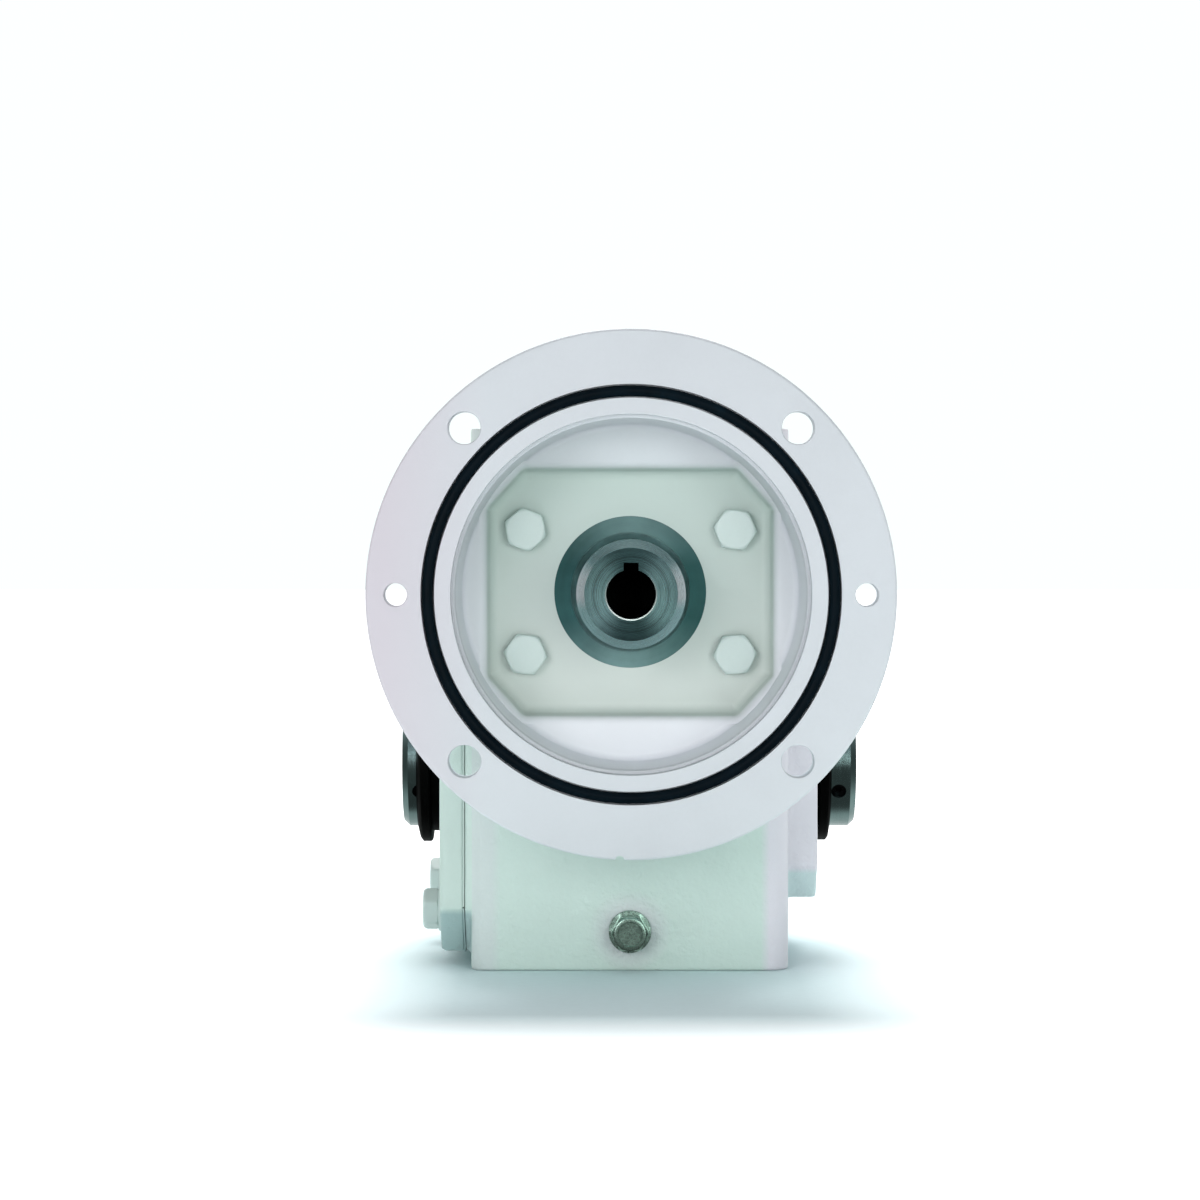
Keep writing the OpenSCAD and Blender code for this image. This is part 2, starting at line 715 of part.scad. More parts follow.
module worm_wheel_rim() {
    outer = [for (w = rim_slices)
        let (r0 = space_root(w), r1 = tooth_tip(w),
            up = [for (u = flank_steps) let (r = r0 + (r1 - r0) * u) [r, flank_psi(r, w, 1)]],
            down = [for (u = flank_steps) let (r = r1 + (r0 - r1) * u)
                [r, flank_psi(r, w, -1) + tooth_pitch]])
        each [for (t = [0 : wheel_teeth - 1]) each [for (p = concat(up, down))
            [w, p[0] * sin(p[1] + t * tooth_pitch), p[0] * cos(p[1] + t * tooth_pitch)]]]];
    n = wheel_teeth * 8;
    m = len(rim_slices);
    ri = rim_seat + 0.03;
    inner = [for (x = [-rim_w / 2, rim_w / 2]) each [for (j = [0 : n - 1])
        let (p = outer[(x < 0 ? 0 : (m - 1) * n) + j], a = atan2(p[1], p[2]))
        [x, ri * sin(a), ri * cos(a)]]];
    i0 = m * n;
    faces = concat(
        [for (s = [0 : m - 2]) for (j = [0 : n - 1])
            let (a = s * n + j, b = s * n + (j + 1) % n) each [[a, b, b + n], [a, b + n, a + n]]],
        [for (j = [0 : n - 1]) let (k = (j + 1) % n) each [
            [j, i0 + j, i0 + k], [j, i0 + k, k],
            [(m - 1) * n + j, (m - 1) * n + k, i0 + n + k], [(m - 1) * n + j, i0 + n + k, i0 + n + j]]],
        [for (j = [0 : n - 1]) let (k = (j + 1) % n)
            each [[i0 + j, i0 + n + j, i0 + n + k], [i0 + j, i0 + n + k, i0 + k]]]);
    color(bronze) polyhedron(concat(outer, inner), faces);
}

module left_spacer() {
    color(steel) ring_x(output_d / 2, 26, -bearing_x + bearing_w, -hub_w / 2);
}

module right_spacer() {
    color(steel) ring_x(output_d / 2, 26, hub_w / 2 + 3, bearing_x - bearing_w);
}

// ---------- plugs, breather and plate ----------

// plug standing on z = 0 with a round collar and a hexagon head
module hex_plug(af, collar, head) {
    cylinder(r = collar / 2, h = 2.2);
    translate([0, 0, 2.2]) intersection() {
        cylinder(r = af / 2 / cos(30), h = head - 2.2, $fn = 6);
        cylinder(r1 = af, r2 = af * 0.535, h = head - 2.2);
    }
    translate([0, 0, -11]) cylinder(r = 4.9, h = 11.5);
}

module drain_plug() {
    color(bright) translate(drain_pos) rotate([90, 0, 0]) hex_plug(11.1, 14.2, 10);
}

module level_plug() {
    color(bright) translate(level_pos) rotate([-90, 0, 0]) hex_plug(11.1, 14.2, 10);
}

module breather_body() {
    color(bright) translate(breather_pos) difference() {
        union() {
            cylinder(r = 7.2, h = 1.6);
            translate([0, 0, 1.6]) cylinder(r = 12.7 / 2 / cos(30), h = 6.4, $fn = 6);
            translate([0, 0, 8]) cylinder(r = 3.6, h = 3);
            translate([0, 0, -9]) cylinder(r = 4.9, h = 9.5);
        }
        translate([0, 0, -10]) cylinder(r = 1.6, h = 19.5);
        for (a = [0, 90]) rotate([0, 0, a]) translate([-5, 0, 9.2]) rotate([0, 90, 0])
            cylinder(r = 0.6, h = 10);
    }
}

module breather_cap() {
    color(bright) translate(breather_pos) difference() {
        translate([0, 0, 8.6]) cylinder(r = 8, h = 5);
        translate([0, 0, 8]) cylinder(r = 6.6, h = 3);
    }
}

module nameplate() {
    color(bright) difference() {
        translate(plate_pos) plate_x(0, 0.8, soft_rect(-32, -14, 32, 14, [2, 2, 2, 2]));
        for (sy = [-1, 1]) translate([0, plate_pos[1] + sy * 27, plate_pos[2]])
            cyl_x(1.3, hx - 1, hx + 2);
    }
}

module nameplate_pins() {
    color(bright) for (sy = [-1, 1]) translate([0, plate_pos[1] + sy * 27, plate_pos[2]]) {
        cyl_x(1.18, hx - 5, hx + 1);
        cyl_x(2.2, hx + 0.8, hx + 1.6);
    }
}

housing();
motor_flange();
flange_gasket();
flange_o_ring();
flange_bolts();
input_seal_case();
input_seal_lip();
front_bearing_outer_race();
front_bearing_inner_race();
front_bearing_balls();
front_bearing_cage();
front_snap_ring();
rear_bearing_outer_race();
rear_bearing_inner_race();
rear_bearing_balls();
rear_bearing_cage();
rear_snap_ring();
worm_shaft();
rear_cover();
rear_cover_gasket();
rear_cover_bolts();
side_cover();
side_cover_gasket();
side_cover_bolts();
side_cover_washers();
left_bearing_outer_race();
left_bearing_inner_race();
left_bearing_balls();
left_bearing_cage();
right_bearing_outer_race();
right_bearing_inner_race();
right_bearing_balls();
right_bearing_cage();
left_seal_case();
left_seal_lip();
right_seal_case();
right_seal_lip();
left_v_ring();
right_v_ring();
output_shaft();
worm_wheel_rim();
worm_wheel_hub();
wheel_key();
left_spacer();
right_spacer();
set_screws();
drain_plug();
level_plug();
breather_body();
breather_cap();
nameplate();
nameplate_pins();
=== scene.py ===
import math
import bmesh
import bpy
from mathutils import Matrix, Vector


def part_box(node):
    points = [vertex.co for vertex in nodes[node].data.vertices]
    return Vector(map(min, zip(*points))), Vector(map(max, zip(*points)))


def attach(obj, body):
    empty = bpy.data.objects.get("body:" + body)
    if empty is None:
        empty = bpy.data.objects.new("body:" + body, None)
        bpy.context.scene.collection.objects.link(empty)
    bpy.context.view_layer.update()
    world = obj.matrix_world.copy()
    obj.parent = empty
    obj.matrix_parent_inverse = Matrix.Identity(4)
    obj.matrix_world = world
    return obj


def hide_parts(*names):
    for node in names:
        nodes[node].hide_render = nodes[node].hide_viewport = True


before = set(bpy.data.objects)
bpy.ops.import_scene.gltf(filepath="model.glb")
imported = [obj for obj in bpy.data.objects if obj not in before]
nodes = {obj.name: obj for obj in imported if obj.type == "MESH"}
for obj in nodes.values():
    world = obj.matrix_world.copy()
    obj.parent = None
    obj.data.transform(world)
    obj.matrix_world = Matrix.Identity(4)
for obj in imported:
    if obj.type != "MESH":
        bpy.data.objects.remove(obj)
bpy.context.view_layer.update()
scene = bpy.context.scene

# ---------------------------------------------------------------- sizes, in metres
MM = 0.001
WORM_Z = 0.060325                   # height of the input axis; the output axis is the X axis
BASE_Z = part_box("housing")[0].z     # the floor, under the base
FACE_Y = -0.123                     # motor face of the flange
SEAT_Y = -0.073                     # seat of the flange screws
SPIGOT_Y = (-0.0762, -0.0465)       # the spigot, from inside the base plate to its end in the housing
SIDE_X = 0.0635                     # machined left side face, under the gasket
REAR_Y = 0.070                      # outer face of the rear cover
MOTOR_PITCH = 149.225 / 2 * MM      # radius of the motor's bolt circle
SCREW_X, SCREW_Z = 34.4 * MM, 20.5 * MM     # flange screws from the input axis
COVER_PITCH = 54 * MM               # radius of the side cover's bolt circle
REAR_PITCH = 32 * MM                # radius of the rear cover's bolt circle
ROUND = 96                          # points in each ring of a screw or plug

# ---------------------------------------------------------------- camera
CAMERA_AT = (-0.0080, -1.3230, 0.0834)
CAMERA_DOWN = math.radians(1.18)
CAMERA_YAW = math.radians(0.089)
CAMERA_LENS = 113.9

camera_data = bpy.data.cameras.new("camera")
camera_data.lens = CAMERA_LENS
camera_data.sensor_width = 36.0
camera_data.clip_start = 0.01
camera_data.clip_end = 100.0
camera = bpy.data.objects.new("camera", camera_data)
camera.location = CAMERA_AT
camera.rotation_euler = (math.pi / 2 - CAMERA_DOWN, 0.0, CAMERA_YAW)
scene.collection.objects.link(camera)
scene.camera = camera
scene.view_settings.view_transform = "Standard"


# ---------------------------------------------------------------- node helpers
class Tree:
    """Short names for building one material's nodes."""

    def __init__(self, name):
        self.material = bpy.data.materials.new(name)
        self.material.use_nodes = True
        self.nt = self.material.node_tree
        self.nt.nodes.clear()
        out = self.nt.nodes.new("ShaderNodeOutputMaterial")
        self.bsdf = self.nt.nodes.new("ShaderNodeBsdfPrincipled")
        self.nt.links.new(self.bsdf.outputs["BSDF"], out.inputs["Surface"])
        self.coord = self.nt.nodes.new("ShaderNodeTexCoord").outputs["Object"]

    def link(self, a, b):
        self.nt.links.new(a, b)

    def put(self, socket, value):
        if isinstance(value, bpy.types.NodeSocket):
            self.link(value, socket)
        else:
            socket.default_value = value

    def noise(self, scale, detail=3.0, rough=0.5, vector=None, distortion=0.0):
        n = self.nt.nodes.new("ShaderNodeTexNoise")
        self.link(vector or self.coord, n.inputs["Vector"])
        n.inputs["Scale"].default_value = scale
        n.inputs["Detail"].default_value = detail
        n.inputs["Roughness"].default_value = rough
        n.inputs["Distortion"].default_value = distortion
        return n.outputs["Fac"]

    def math(self, op, a, b=0.0):
        n = self.nt.nodes.new("ShaderNodeMath")
        n.operation = op
        self.put(n.inputs[0], a)
        self.put(n.inputs[1], b)
        return n.outputs[0]

    def remap(self, value, lo, hi, out_lo, out_hi):
        n = self.nt.nodes.new("ShaderNodeMapRange")
        self.put(n.inputs["Value"], value)
        n.inputs["From Min"].default_value = lo
        n.inputs["From Max"].default_value = hi
        n.inputs["To Min"].default_value = out_lo
        n.inputs["To Max"].default_value = out_hi
        return n.outputs["Result"]

    def ramp(self, value, *stops):
        n = self.nt.nodes.new("ShaderNodeValToRGB")
        self.put(n.inputs["Fac"], value)
        while len(n.color_ramp.elements) < len(stops):
            n.color_ramp.elements.new(0.5)
        for element, (place, colour) in zip(n.color_ramp.elements, stops):
            element.position = place
            element.color = (*colour, 1.0)
        return n.outputs["Color"]

    def parts(self):
        n = self.nt.nodes.new("ShaderNodeSeparateXYZ")
        self.link(self.coord, n.inputs[0])
        return n.outputs

    def blend(self, a, b, fac):
        n = self.nt.nodes.new("ShaderNodeMix")
        n.data_type = "RGBA"
        n.clamp_factor = True
        self.put(n.inputs["Factor"], fac)
        self.put(n.inputs[6], a if isinstance(a, bpy.types.NodeSocket) else (*a, 1.0))
        self.put(n.inputs[7], b if isinstance(b, bpy.types.NodeSocket) else (*b, 1.0))
        return n.outputs[2]

    def times(self, a, b, fac=1.0):
        """Colour a multiplied by colour b where fac is 1."""
        n = self.nt.nodes.new("ShaderNodeMix")
        n.data_type = "RGBA"
        n.blend_type = "MULTIPLY"
        n.clamp_factor = True
        self.put(n.inputs["Factor"], fac)
        self.put(n.inputs[6], a)
        self.put(n.inputs[7], b if isinstance(b, bpy.types.NodeSocket) else (*b, 1.0))
        return n.outputs[2]

    def sideways(self, z):
        """1 at three and nine o'clock round the Y axis at height z, 0 at twelve and six."""
        xyz = self.parts()
        up = self.math("SUBTRACT", xyz[2], z)
        across = self.math("MULTIPLY", xyz[0], xyz[0])
        return self.math("DIVIDE", across, self.math("ADD", across, self.math("MULTIPLY", up, up)))

    def bump(self, height, strength, distance, normal=None):
        n = self.nt.nodes.new("ShaderNodeBump")
        self.link(height, n.inputs["Height"])
        n.inputs["Strength"].default_value = strength
        n.inputs["Distance"].default_value = distance
        if normal is not None:
            self.link(normal, n.inputs["Normal"])
        return n.outputs["Normal"]

    def turned(self, axis, z=0.0):
        """Coordinates (radius, position, 0) about an axis through height z."""
        xyz = self.nt.nodes.new("ShaderNodeSeparateXYZ")
        self.link(self.coord, xyz.inputs[0])
        along, across = (0, 1) if axis == "X" else (1, 0)
        up = self.math("SUBTRACT", xyz.outputs[2], z)
        side = xyz.outputs[across]
        radius = self.math("SQRT", self.math("ADD", self.math("MULTIPLY", side, side),
                                             self.math("MULTIPLY", up, up)))
        both = self.nt.nodes.new("ShaderNodeCombineXYZ")
        self.link(radius, both.inputs[0])
        self.link(xyz.outputs[along], both.inputs[1])
        return both.outputs[0]

    def set(self, **values):
        for key, value in values.items():
            self.put(self.bsdf.inputs[key.replace("_", " ")], value)
        return self.material


def mix(a, b, t):
    return tuple(x + (y - x) * t for x, y in zip(a, b))


def scaled(colour, k):
    return tuple(min(1.0, c * k) for c in colour)


# ---------------------------------------------------------------- materials
# the one white paint, tinted apart as painted light and shade: mint on the housing, blue-grey on the flange,
# lilac where light is painted, and the last two for painted shade under the side pads' lower chamfers
MINT = (0.560, 0.690, 0.630)
SKY = (0.525, 0.565, 0.592)
LIGHT_LILAC = (0.565, 0.545, 0.590)
SHADE_UNDER = (0.300, 0.425, 0.425)
SHADE_UNDER_RIGHT = (0.520, 0.660, 0.650)
# places that the painted light and shade below follow, in metres
PLUG_Z = -0.0528                    # height of the drain plug
COVER_CUT_Z = -0.0455               # just under the top of the side cover's lower chamfers
BOSS_CUT_Z = -0.0335                # inside the lower chamfers of the right boss
PAD_LEFT, PAD_RIGHT, PAD = -0.0528, 0.0530, 0.0528   # where the raised side pads begin
EDGE_LEFT = (-0.0430, -0.0460)      # front left edge, from the face to the corner
EDGE_RIGHT = (0.0435, 0.0465)       # front right edge
EDGE_END = -0.0526                  # the left edge's painted light stops here, before the pad
POCKET_Y = (-0.0835, -0.0800)       # rim of the flange's pocket
END_Y = -0.1140                     # the input's end face and chamfers lie in front of this
FLAT_R, CHAMFER_R = 0.01482, 0.01488    # end face inside the one, outer chamfer past the other
BORE_R = (0.00790, 0.00835)         # chamfer at the mouth of the bore
WALL_R = 0.0105                     # the bore's wall and keyway lie inside this
UNLIT_Y = (-0.1166, -0.1130)        # the bore fades to black between these

# painted light, shade and reflections, as linear colours
POCKET_LIGHT_LOW, POCKET_SHADE_HIGH = (0.643, 0.715, 0.669), (0.490, 0.594, 0.550)
FACE_SHADE_HIGH, FACE_LIGHT_LOW = (0.93, 0.93, 0.93), (1.10, 1.10, 1.09)
END_FACE_SHADE = (0.075, 0.088, 0.090)
CHAMFER_REFLECTION_LOW, CHAMFER_REFLECTION_HIGH = (0.55, 0.82, 0.80), (0.28, 0.40, 0.39)
GLINT = (0.96, 1.0, 0.98)
MOUTH_HIGHLIGHT = (0.80, 0.92, 0.88)
UNLIT = (0.0008, 0.001, 0.001)
SEAL_REFLECTION_HIGH, SEAL_REFLECTION_SIDES = (0.58, 0.58, 0.58), (0.30, 0.48, 0.48)


def paint_material(name, cast, tint, painted_light=None, coarse=None):
    """Thick white epoxy over iron: cast is how much of the sand casting shows through,
    its painted-light function (tree, colour) may return the colour with light and shade painted on by place,
    and coarse(tree) is where it is rougher."""
    t = Tree(name)
    patches = t.noise(28.0, 3.0, 0.55)
    specks = t.noise(900.0, 2.0, 0.6)
    tone = t.math("ADD", t.math("MULTIPLY", patches, 0.8), t.math("MULTIPLY", specks, 0.2))
    colour = t.ramp(tone, (0.30, scaled(tint, 0.955)), (0.55, tint), (0.75, scaled(tint, 1.02)))
    # light and shade painted on by place
    if painted_light is not None:
        colour = painted_light(t, colour)
    lumps = t.noise(170.0, 4.0, 0.55, distortion=0.4)
    grain = t.noise(620.0, 3.0, 0.6)
    peel = t.noise(1500.0, 1.0, 0.4)
    where = t.remap(t.noise(36.0, 2.0), 0.35, 0.62, 0.35, 1.0)
    sand = t.math("MULTIPLY", t.math("ADD", t.math("MULTIPLY", lumps, 1.0),
                                     t.math("MULTIPLY", grain, 0.55)), where)
    if coarse is not None:
        sand = t.math("MULTIPLY", sand, t.math("ADD", t.math("MULTIPLY", coarse(t), 1.3), 1.0))
    normal = t.bump(peel, 0.10, 0.00012)
    if cast > 0:
        normal = t.bump(sand, 0.55 * cast, 0.0011, normal)
    rough = t.remap(patches, 0.3, 0.7, 0.40, 0.52)
    return t.set(Base_Color=colour, Roughness=rough, Normal=normal, Coat_Weight=0.10,
                 Coat_Roughness=0.25, Specular_IOR_Level=0.35)


def flange_painted_light(t, colour):
    """Painted light and shade on the blue-grey flange: lilac light on its left, a lightened cup, lightest
    towards its bottom, a mint pocket darker towards its top, and a face darker towards its top and lighter
    towards its bottom.
    """
    xyz = t.parts()
    # painted light: lilac to the left, and a lightened cup, more so low down
    left = t.remap(xyz[0], -0.078, -0.046, 1.0, 0.0)
    cup = t.remap(xyz[1], FACE_Y + 0.004, FACE_Y + 0.012, 0.0, 1.0)
    low = t.remap(xyz[2], WORM_Z + 0.030, WORM_Z - 0.045, 0.10, 1.0)
    colour = t.blend(colour, scaled(LIGHT_LILAC, 0.92), left)
    colour = t.blend(colour, scaled(mix(SKY, LIGHT_LILAC, 0.4), 1.72), t.math("MULTIPLY", cup, low))
    # painted shade: the pocket in mint, darker towards its top
    pocket = t.remap(xyz[1], *POCKET_Y, 0.0, 1.0)
    height = t.remap(xyz[2], WORM_Z - 0.030, WORM_Z + 0.035, 0.0, 1.0)
    colour = t.blend(colour, t.blend(POCKET_LIGHT_LOW, POCKET_SHADE_HIGH, height), pocket)
    # painted shade at the top of the face, painted light at its bottom
    face = t.math("SUBTRACT", 1.0, cup)
    colour = t.times(colour, FACE_SHADE_HIGH, t.math("MULTIPLY", face, t.remap(
        xyz[2], WORM_Z, WORM_Z + 0.080, 0.0, 1.0)))
    return t.times(colour, FACE_LIGHT_LOW, t.math("MULTIPLY", face, t.remap(
        xyz[2], WORM_Z, WORM_Z - 0.070, 0.0, 1.0)))


def near_plug(t, inner, outer):
    """1 round the drain plug on the front, fading to 0 at the outer radius."""
    xyz = t.parts()
    up = t.math("SUBTRACT", xyz[2], PLUG_Z)
    away = t.math("SQRT", t.math("ADD", t.math("MULTIPLY", xyz[0], xyz[0]), t.math("MULTIPLY", up, up)))
    front = t.math("LESS_THAN", xyz[1], -0.05)
    return t.math("MULTIPLY", front, t.remap(away, inner, outer, 1.0, 0.0))


def housing_painted_light(t, colour):
    """Painted light and shade: lilac light on the upright front edges, the right side with its boss and round
    the drain plug, and blue-grey shade low on the side pads."""
    xyz = t.parts()
    # painted light: lilac on the front edges, the right side and round the drain plug
    left = t.math("MULTIPLY", t.remap(xyz[0], *EDGE_LEFT, 0.0, 0.35),
                  t.math("GREATER_THAN", xyz[0], EDGE_END))
    right = t.remap(xyz[0], *EDGE_RIGHT, 0.0, 0.9)
    colour = t.blend(colour, scaled(LIGHT_LILAC, 1.08), left)
    colour = t.blend(colour, scaled(LIGHT_LILAC, 1.20), right)
    colour = t.blend(colour, scaled(LIGHT_LILAC, 1.10), t.math("MULTIPLY", near_plug(t, 0.008, 0.014), 0.45))
    # painted shade: blue-grey under the tops of the side pads' lower chamfers
    under = t.math("MULTIPLY", t.math("LESS_THAN", xyz[0], PAD_LEFT),
                   t.remap(xyz[2], COVER_CUT_Z, COVER_CUT_Z - 0.002, 0.0, 0.85))
    colour = t.blend(colour, SHADE_UNDER, under)
    under = t.math("MULTIPLY", t.math("GREATER_THAN", xyz[0], PAD_RIGHT),
                   t.remap(xyz[2], BOSS_CUT_Z, BOSS_CUT_Z - 0.002, 0.0, 0.85))
    return t.blend(colour, SHADE_UNDER_RIGHT, under)


def housing_coarse(t):
    """Rougher sand low down at the sides and round the drain plug."""
    xyz = t.parts()
    low = t.math("MULTIPLY", t.remap(xyz[2], -0.028, -0.046, 0.0, 1.0),
                 t.math("GREATER_THAN", t.math("ABSOLUTE", xyz[0]), PAD))
    return t.math("MAXIMUM", low, near_plug(t, 0.012, 0.026))


def cover_painted_shade(t, colour):
    """Painted shade: blue-grey on the lowest part of the side cover, everything below the top of its lower
    chamfers.
    """
    return t.blend(colour, SHADE_UNDER, t.remap(t.parts()[2], COVER_CUT_Z, COVER_CUT_Z - 0.002, 0.0, 0.85))


def cover_coarse(t):
    """Rougher sand on the lowest part of the side cover."""
    return t.remap(t.parts()[2], COVER_CUT_Z + 0.004, COVER_CUT_Z - 0.004, 0.0, 1.0)


def input_painted_reflection(t, base, where):
    """Painted reflections and shade on the hollow input: a bright chamfer, lighter below, with glints to the
    left and right, a bright lower edge at the mouth of the bore, an end face darker above and below the bore,
    and a bore shaded black."""
    split = t.nt.nodes.new("ShaderNodeSeparateXYZ")
    t.link(where, split.inputs[0])
    radius, along = split.outputs[0], split.outputs[1]
    side = t.sideways(WORM_Z)
    end = t.math("LESS_THAN", along, END_Y)
    # painted reflection: the flat end face darker above and below the bore
    face = t.math("MULTIPLY", end, t.math("SUBTRACT", 1.0, t.math("POWER", side, 1.7)))
    flat = t.math("LESS_THAN", radius, FLAT_R)
    base = t.times(base, END_FACE_SHADE, t.math("MULTIPLY", face, flat))
    # painted reflection: the chamfer bright, lighter below, with glints to the left and right
    ring = t.math("MULTIPLY", end, t.math("GREATER_THAN", radius, CHAMFER_R))
    high = t.remap(t.parts()[2], WORM_Z - 0.005, WORM_Z - 0.001, 0.0, 1.0)
    glint = t.math("MULTIPLY", high, t.remap(side, 0.62, 0.92, 0.0, 1.0))
    above = t.remap(t.parts()[2], WORM_Z + 0.002, WORM_Z + 0.012, 0.0, 1.0)
    base = t.blend(base, t.blend(CHAMFER_REFLECTION_LOW, CHAMFER_REFLECTION_HIGH, above), ring)
    base = t.blend(base, GLINT, t.math("MULTIPLY", ring, glint))
    # painted highlight on the lower edge of the bore's mouth
    edge = t.math("MULTIPLY", t.math("MULTIPLY", end, t.math("LESS_THAN", radius, BORE_R[1])),
                  t.math("GREATER_THAN", radius, BORE_R[0]))
    low = t.remap(t.parts()[2], WORM_Z - 0.002, WORM_Z + 0.006, 0.9, 0.0)
    base = t.blend(base, MOUTH_HIGHLIGHT, t.math("MULTIPLY", edge, low))
    # painted shade: the bore turns black
    inside = t.math("MULTIPLY", t.math("LESS_THAN", radius, WALL_R),
                    t.remap(along, *UNLIT_Y, 0.0, 1.0))
    return t.blend(base, UNLIT, inside)


def seal_painted_reflection(t, base, where):
    """Painted reflection on the seal face: darker in its upper half, and darkest to the left and right of the
    shaft.
    """
    base = t.times(base, SEAL_REFLECTION_HIGH, t.remap(t.parts()[2], WORM_Z, WORM_Z + 0.018, 0.0, 1.0))
    return t.times(base, SEAL_REFLECTION_SIDES, t.remap(t.sideways(WORM_Z), 0.0, 0.85, 0.0, 1.0))


def steel_material(name, colour, rough, axis="Y", z=0.0, rings=0.5, anisotropic=0.35, painted_light=None):
    """Turned steel: fine rings round the axis, a few deeper marks and a faint oil film.
    its painted-light function (tree, colour, where) may return the colour with reflections and shade painted
    on by place; where is (radius, position, 0)."""
    t = Tree(name)
    where = t.turned(axis, z)
    fine = t.noise(5200.0, 2.0, 0.6, where)
    coarse = t.noise(900.0, 2.0, 0.5, where)
    film = t.noise(60.0, 4.0, 0.6)
    marks = t.math("ADD", t.math("MULTIPLY", fine, 0.6), t.math("MULTIPLY", coarse, 0.4))
    base = t.ramp(t.math("ADD", t.math("MULTIPLY", marks, 0.35), t.math("MULTIPLY", film, 0.65)),
                  (0.32, scaled(colour, 0.72)), (0.52, colour), (0.70, scaled(colour, 1.22)))
    # reflections and shade painted on by place
    if painted_light is not None:
        base = painted_light(t, base, where)
    tangent = t.nt.nodes.new("ShaderNodeTangent")
    tangent.direction_type = "RADIAL"
    tangent.axis = axis
    return t.set(Base_Color=base, Metallic=1.0,
                 Roughness=t.remap(marks, 0.3, 0.7, rough * 0.75, rough * 1.3),
                 Normal=t.bump(marks, 0.30 * rings, 0.00008), Anisotropic=anisotropic,
                 Tangent=tangent.outputs[0])


def plain_metal(name, colour, rough, grain=1400.0, depth=0.00004, spread=0.15):
    """Ground, pressed or cast metal with a fine all-over grain."""
    t = Tree(name)
    fine = t.noise(grain, 3.0, 0.6)
    broad = t.noise(70.0, 4.0, 0.55)
    tone = t.math("ADD", t.math("MULTIPLY", fine, 0.4), t.math("MULTIPLY", broad, 0.6))
    base = t.ramp(tone, (0.30, scaled(colour, 1 - spread)), (0.55, colour),
                  (0.75, scaled(colour, 1 + spread)))
    return t.set(Base_Color=base, Metallic=1.0,
                 Roughness=t.remap(fine, 0.3, 0.7, rough * 0.8, rough * 1.2),
                 Normal=t.bump(fine, 0.35, depth))


def rubber_material(name, colour, sheen):
    """Dark rubber with a little dust."""
    t = Tree(name)
    fine = t.noise(1100.0, 3.0, 0.6)
    dust = t.noise(120.0, 4.0, 0.6)
    base = t.ramp(dust, (0.35, colour), (0.62, scaled(colour, 1.5)), (0.80, scaled(colour, 2.6)))
    return t.set(Base_Color=base, Roughness=t.remap(dust, 0.3, 0.7, 0.42, 0.62),
                 Normal=t.bump(fine, 0.30, 0.00006), Specular_IOR_Level=sheen)


def fibre_material(name, colour):
    """Pressed gasket fibre."""
    t = Tree(name)
    fibres = t.noise(700.0, 5.0, 0.7, distortion=1.2)
    base = t.ramp(fibres, (0.35, scaled(colour, 0.7)), (0.55, colour), (0.70, scaled(colour, 1.25)))
    return t.set(Base_Color=base, Roughness=0.9, Normal=t.bump(fibres, 0.4, 0.0001))


# one white paint in lit and shaded copies: mint on the housing, darker mint on the covers and gasket,
# blue-grey on the flange, and lighter screws on the flange and rear cover than on the side cover
cast_paint = paint_material("paint_cast", 1.0, MINT, housing_painted_light, housing_coarse)
cover_paint = paint_material("paint_cover", 0.55, scaled(MINT, 0.93), cover_painted_shade, cover_coarse)
gasket_paint = paint_material("paint_gasket", 0.3, scaled(MINT, 0.93), cover_painted_shade)
flange_paint = paint_material("paint_flange", 0.10, SKY, flange_painted_light)
side_bolt_paint = paint_material("paint_side_bolts", 0.12, mix(MINT, SKY, 0.3))
bolt_paint = paint_material("paint_bolts", 0.12, scaled(mix(MINT, SKY, 0.3), 1.12))
input_steel = steel_material("steel_input", (0.290, 0.500, 0.500), 0.26, "Y", WORM_Z, 0.4, 0.6, input_painted_reflection)
output_steel = steel_material("steel_output", (0.150, 0.220, 0.215), 0.18, "X")
seal_steel = steel_material("steel_seal", (0.142, 0.246, 0.241), 0.40, "Y", WORM_Z, 0.3, painted_light=seal_painted_reflection)
side_seal_steel = steel_material("steel_side_seal", (0.15, 0.22, 0.22), 0.40, "X", 0.0, 0.3)
race_steel = plain_metal("bearing_steel", (0.62, 0.63, 0.64), 0.16, 3000.0, 0.00001)
ball_steel = plain_metal("ball_steel", (0.74, 0.75, 0.76), 0.06, 3000.0, 0.000004, spread=0.04)
bronze = plain_metal("bronze", (0.66, 0.42, 0.17), 0.30, 900.0)
cage_brass = plain_metal("cage_brass", (0.70, 0.50, 0.20), 0.28, 1500.0)
spring_steel = plain_metal("spring_steel", (0.10, 0.105, 0.11), 0.42, 1200.0)
hub_iron = plain_metal("hub_iron", (0.20, 0.205, 0.21), 0.50, 500.0, 0.00012)
key_steel = plain_metal("key_steel", (0.42, 0.43, 0.44), 0.33)
stainless = plain_metal("stainless", (0.250, 0.370, 0.310), 0.26, 1600.0, 0.00005)
plate_steel = plain_metal("plate_steel", (0.60, 0.60, 0.59), 0.34, 2200.0, 0.00002, spread=0.06)
rubber = rubber_material("rubber", (0.0010, 0.0040, 0.0065), 0.05)
black_oxide = plain_metal("black_oxide", (0.012, 0.013, 0.014), 0.35, 1600.0)
lip_rubber = rubber_material("lip_rubber", (0.0008, 0.0009, 0.0009), 0.02)
seal_rubber = rubber_material("seal_rubber", (0.100, 0.180, 0.178), 0.30)
fibre = fibre_material("gasket_fibre", (0.36, 0.33, 0.24))


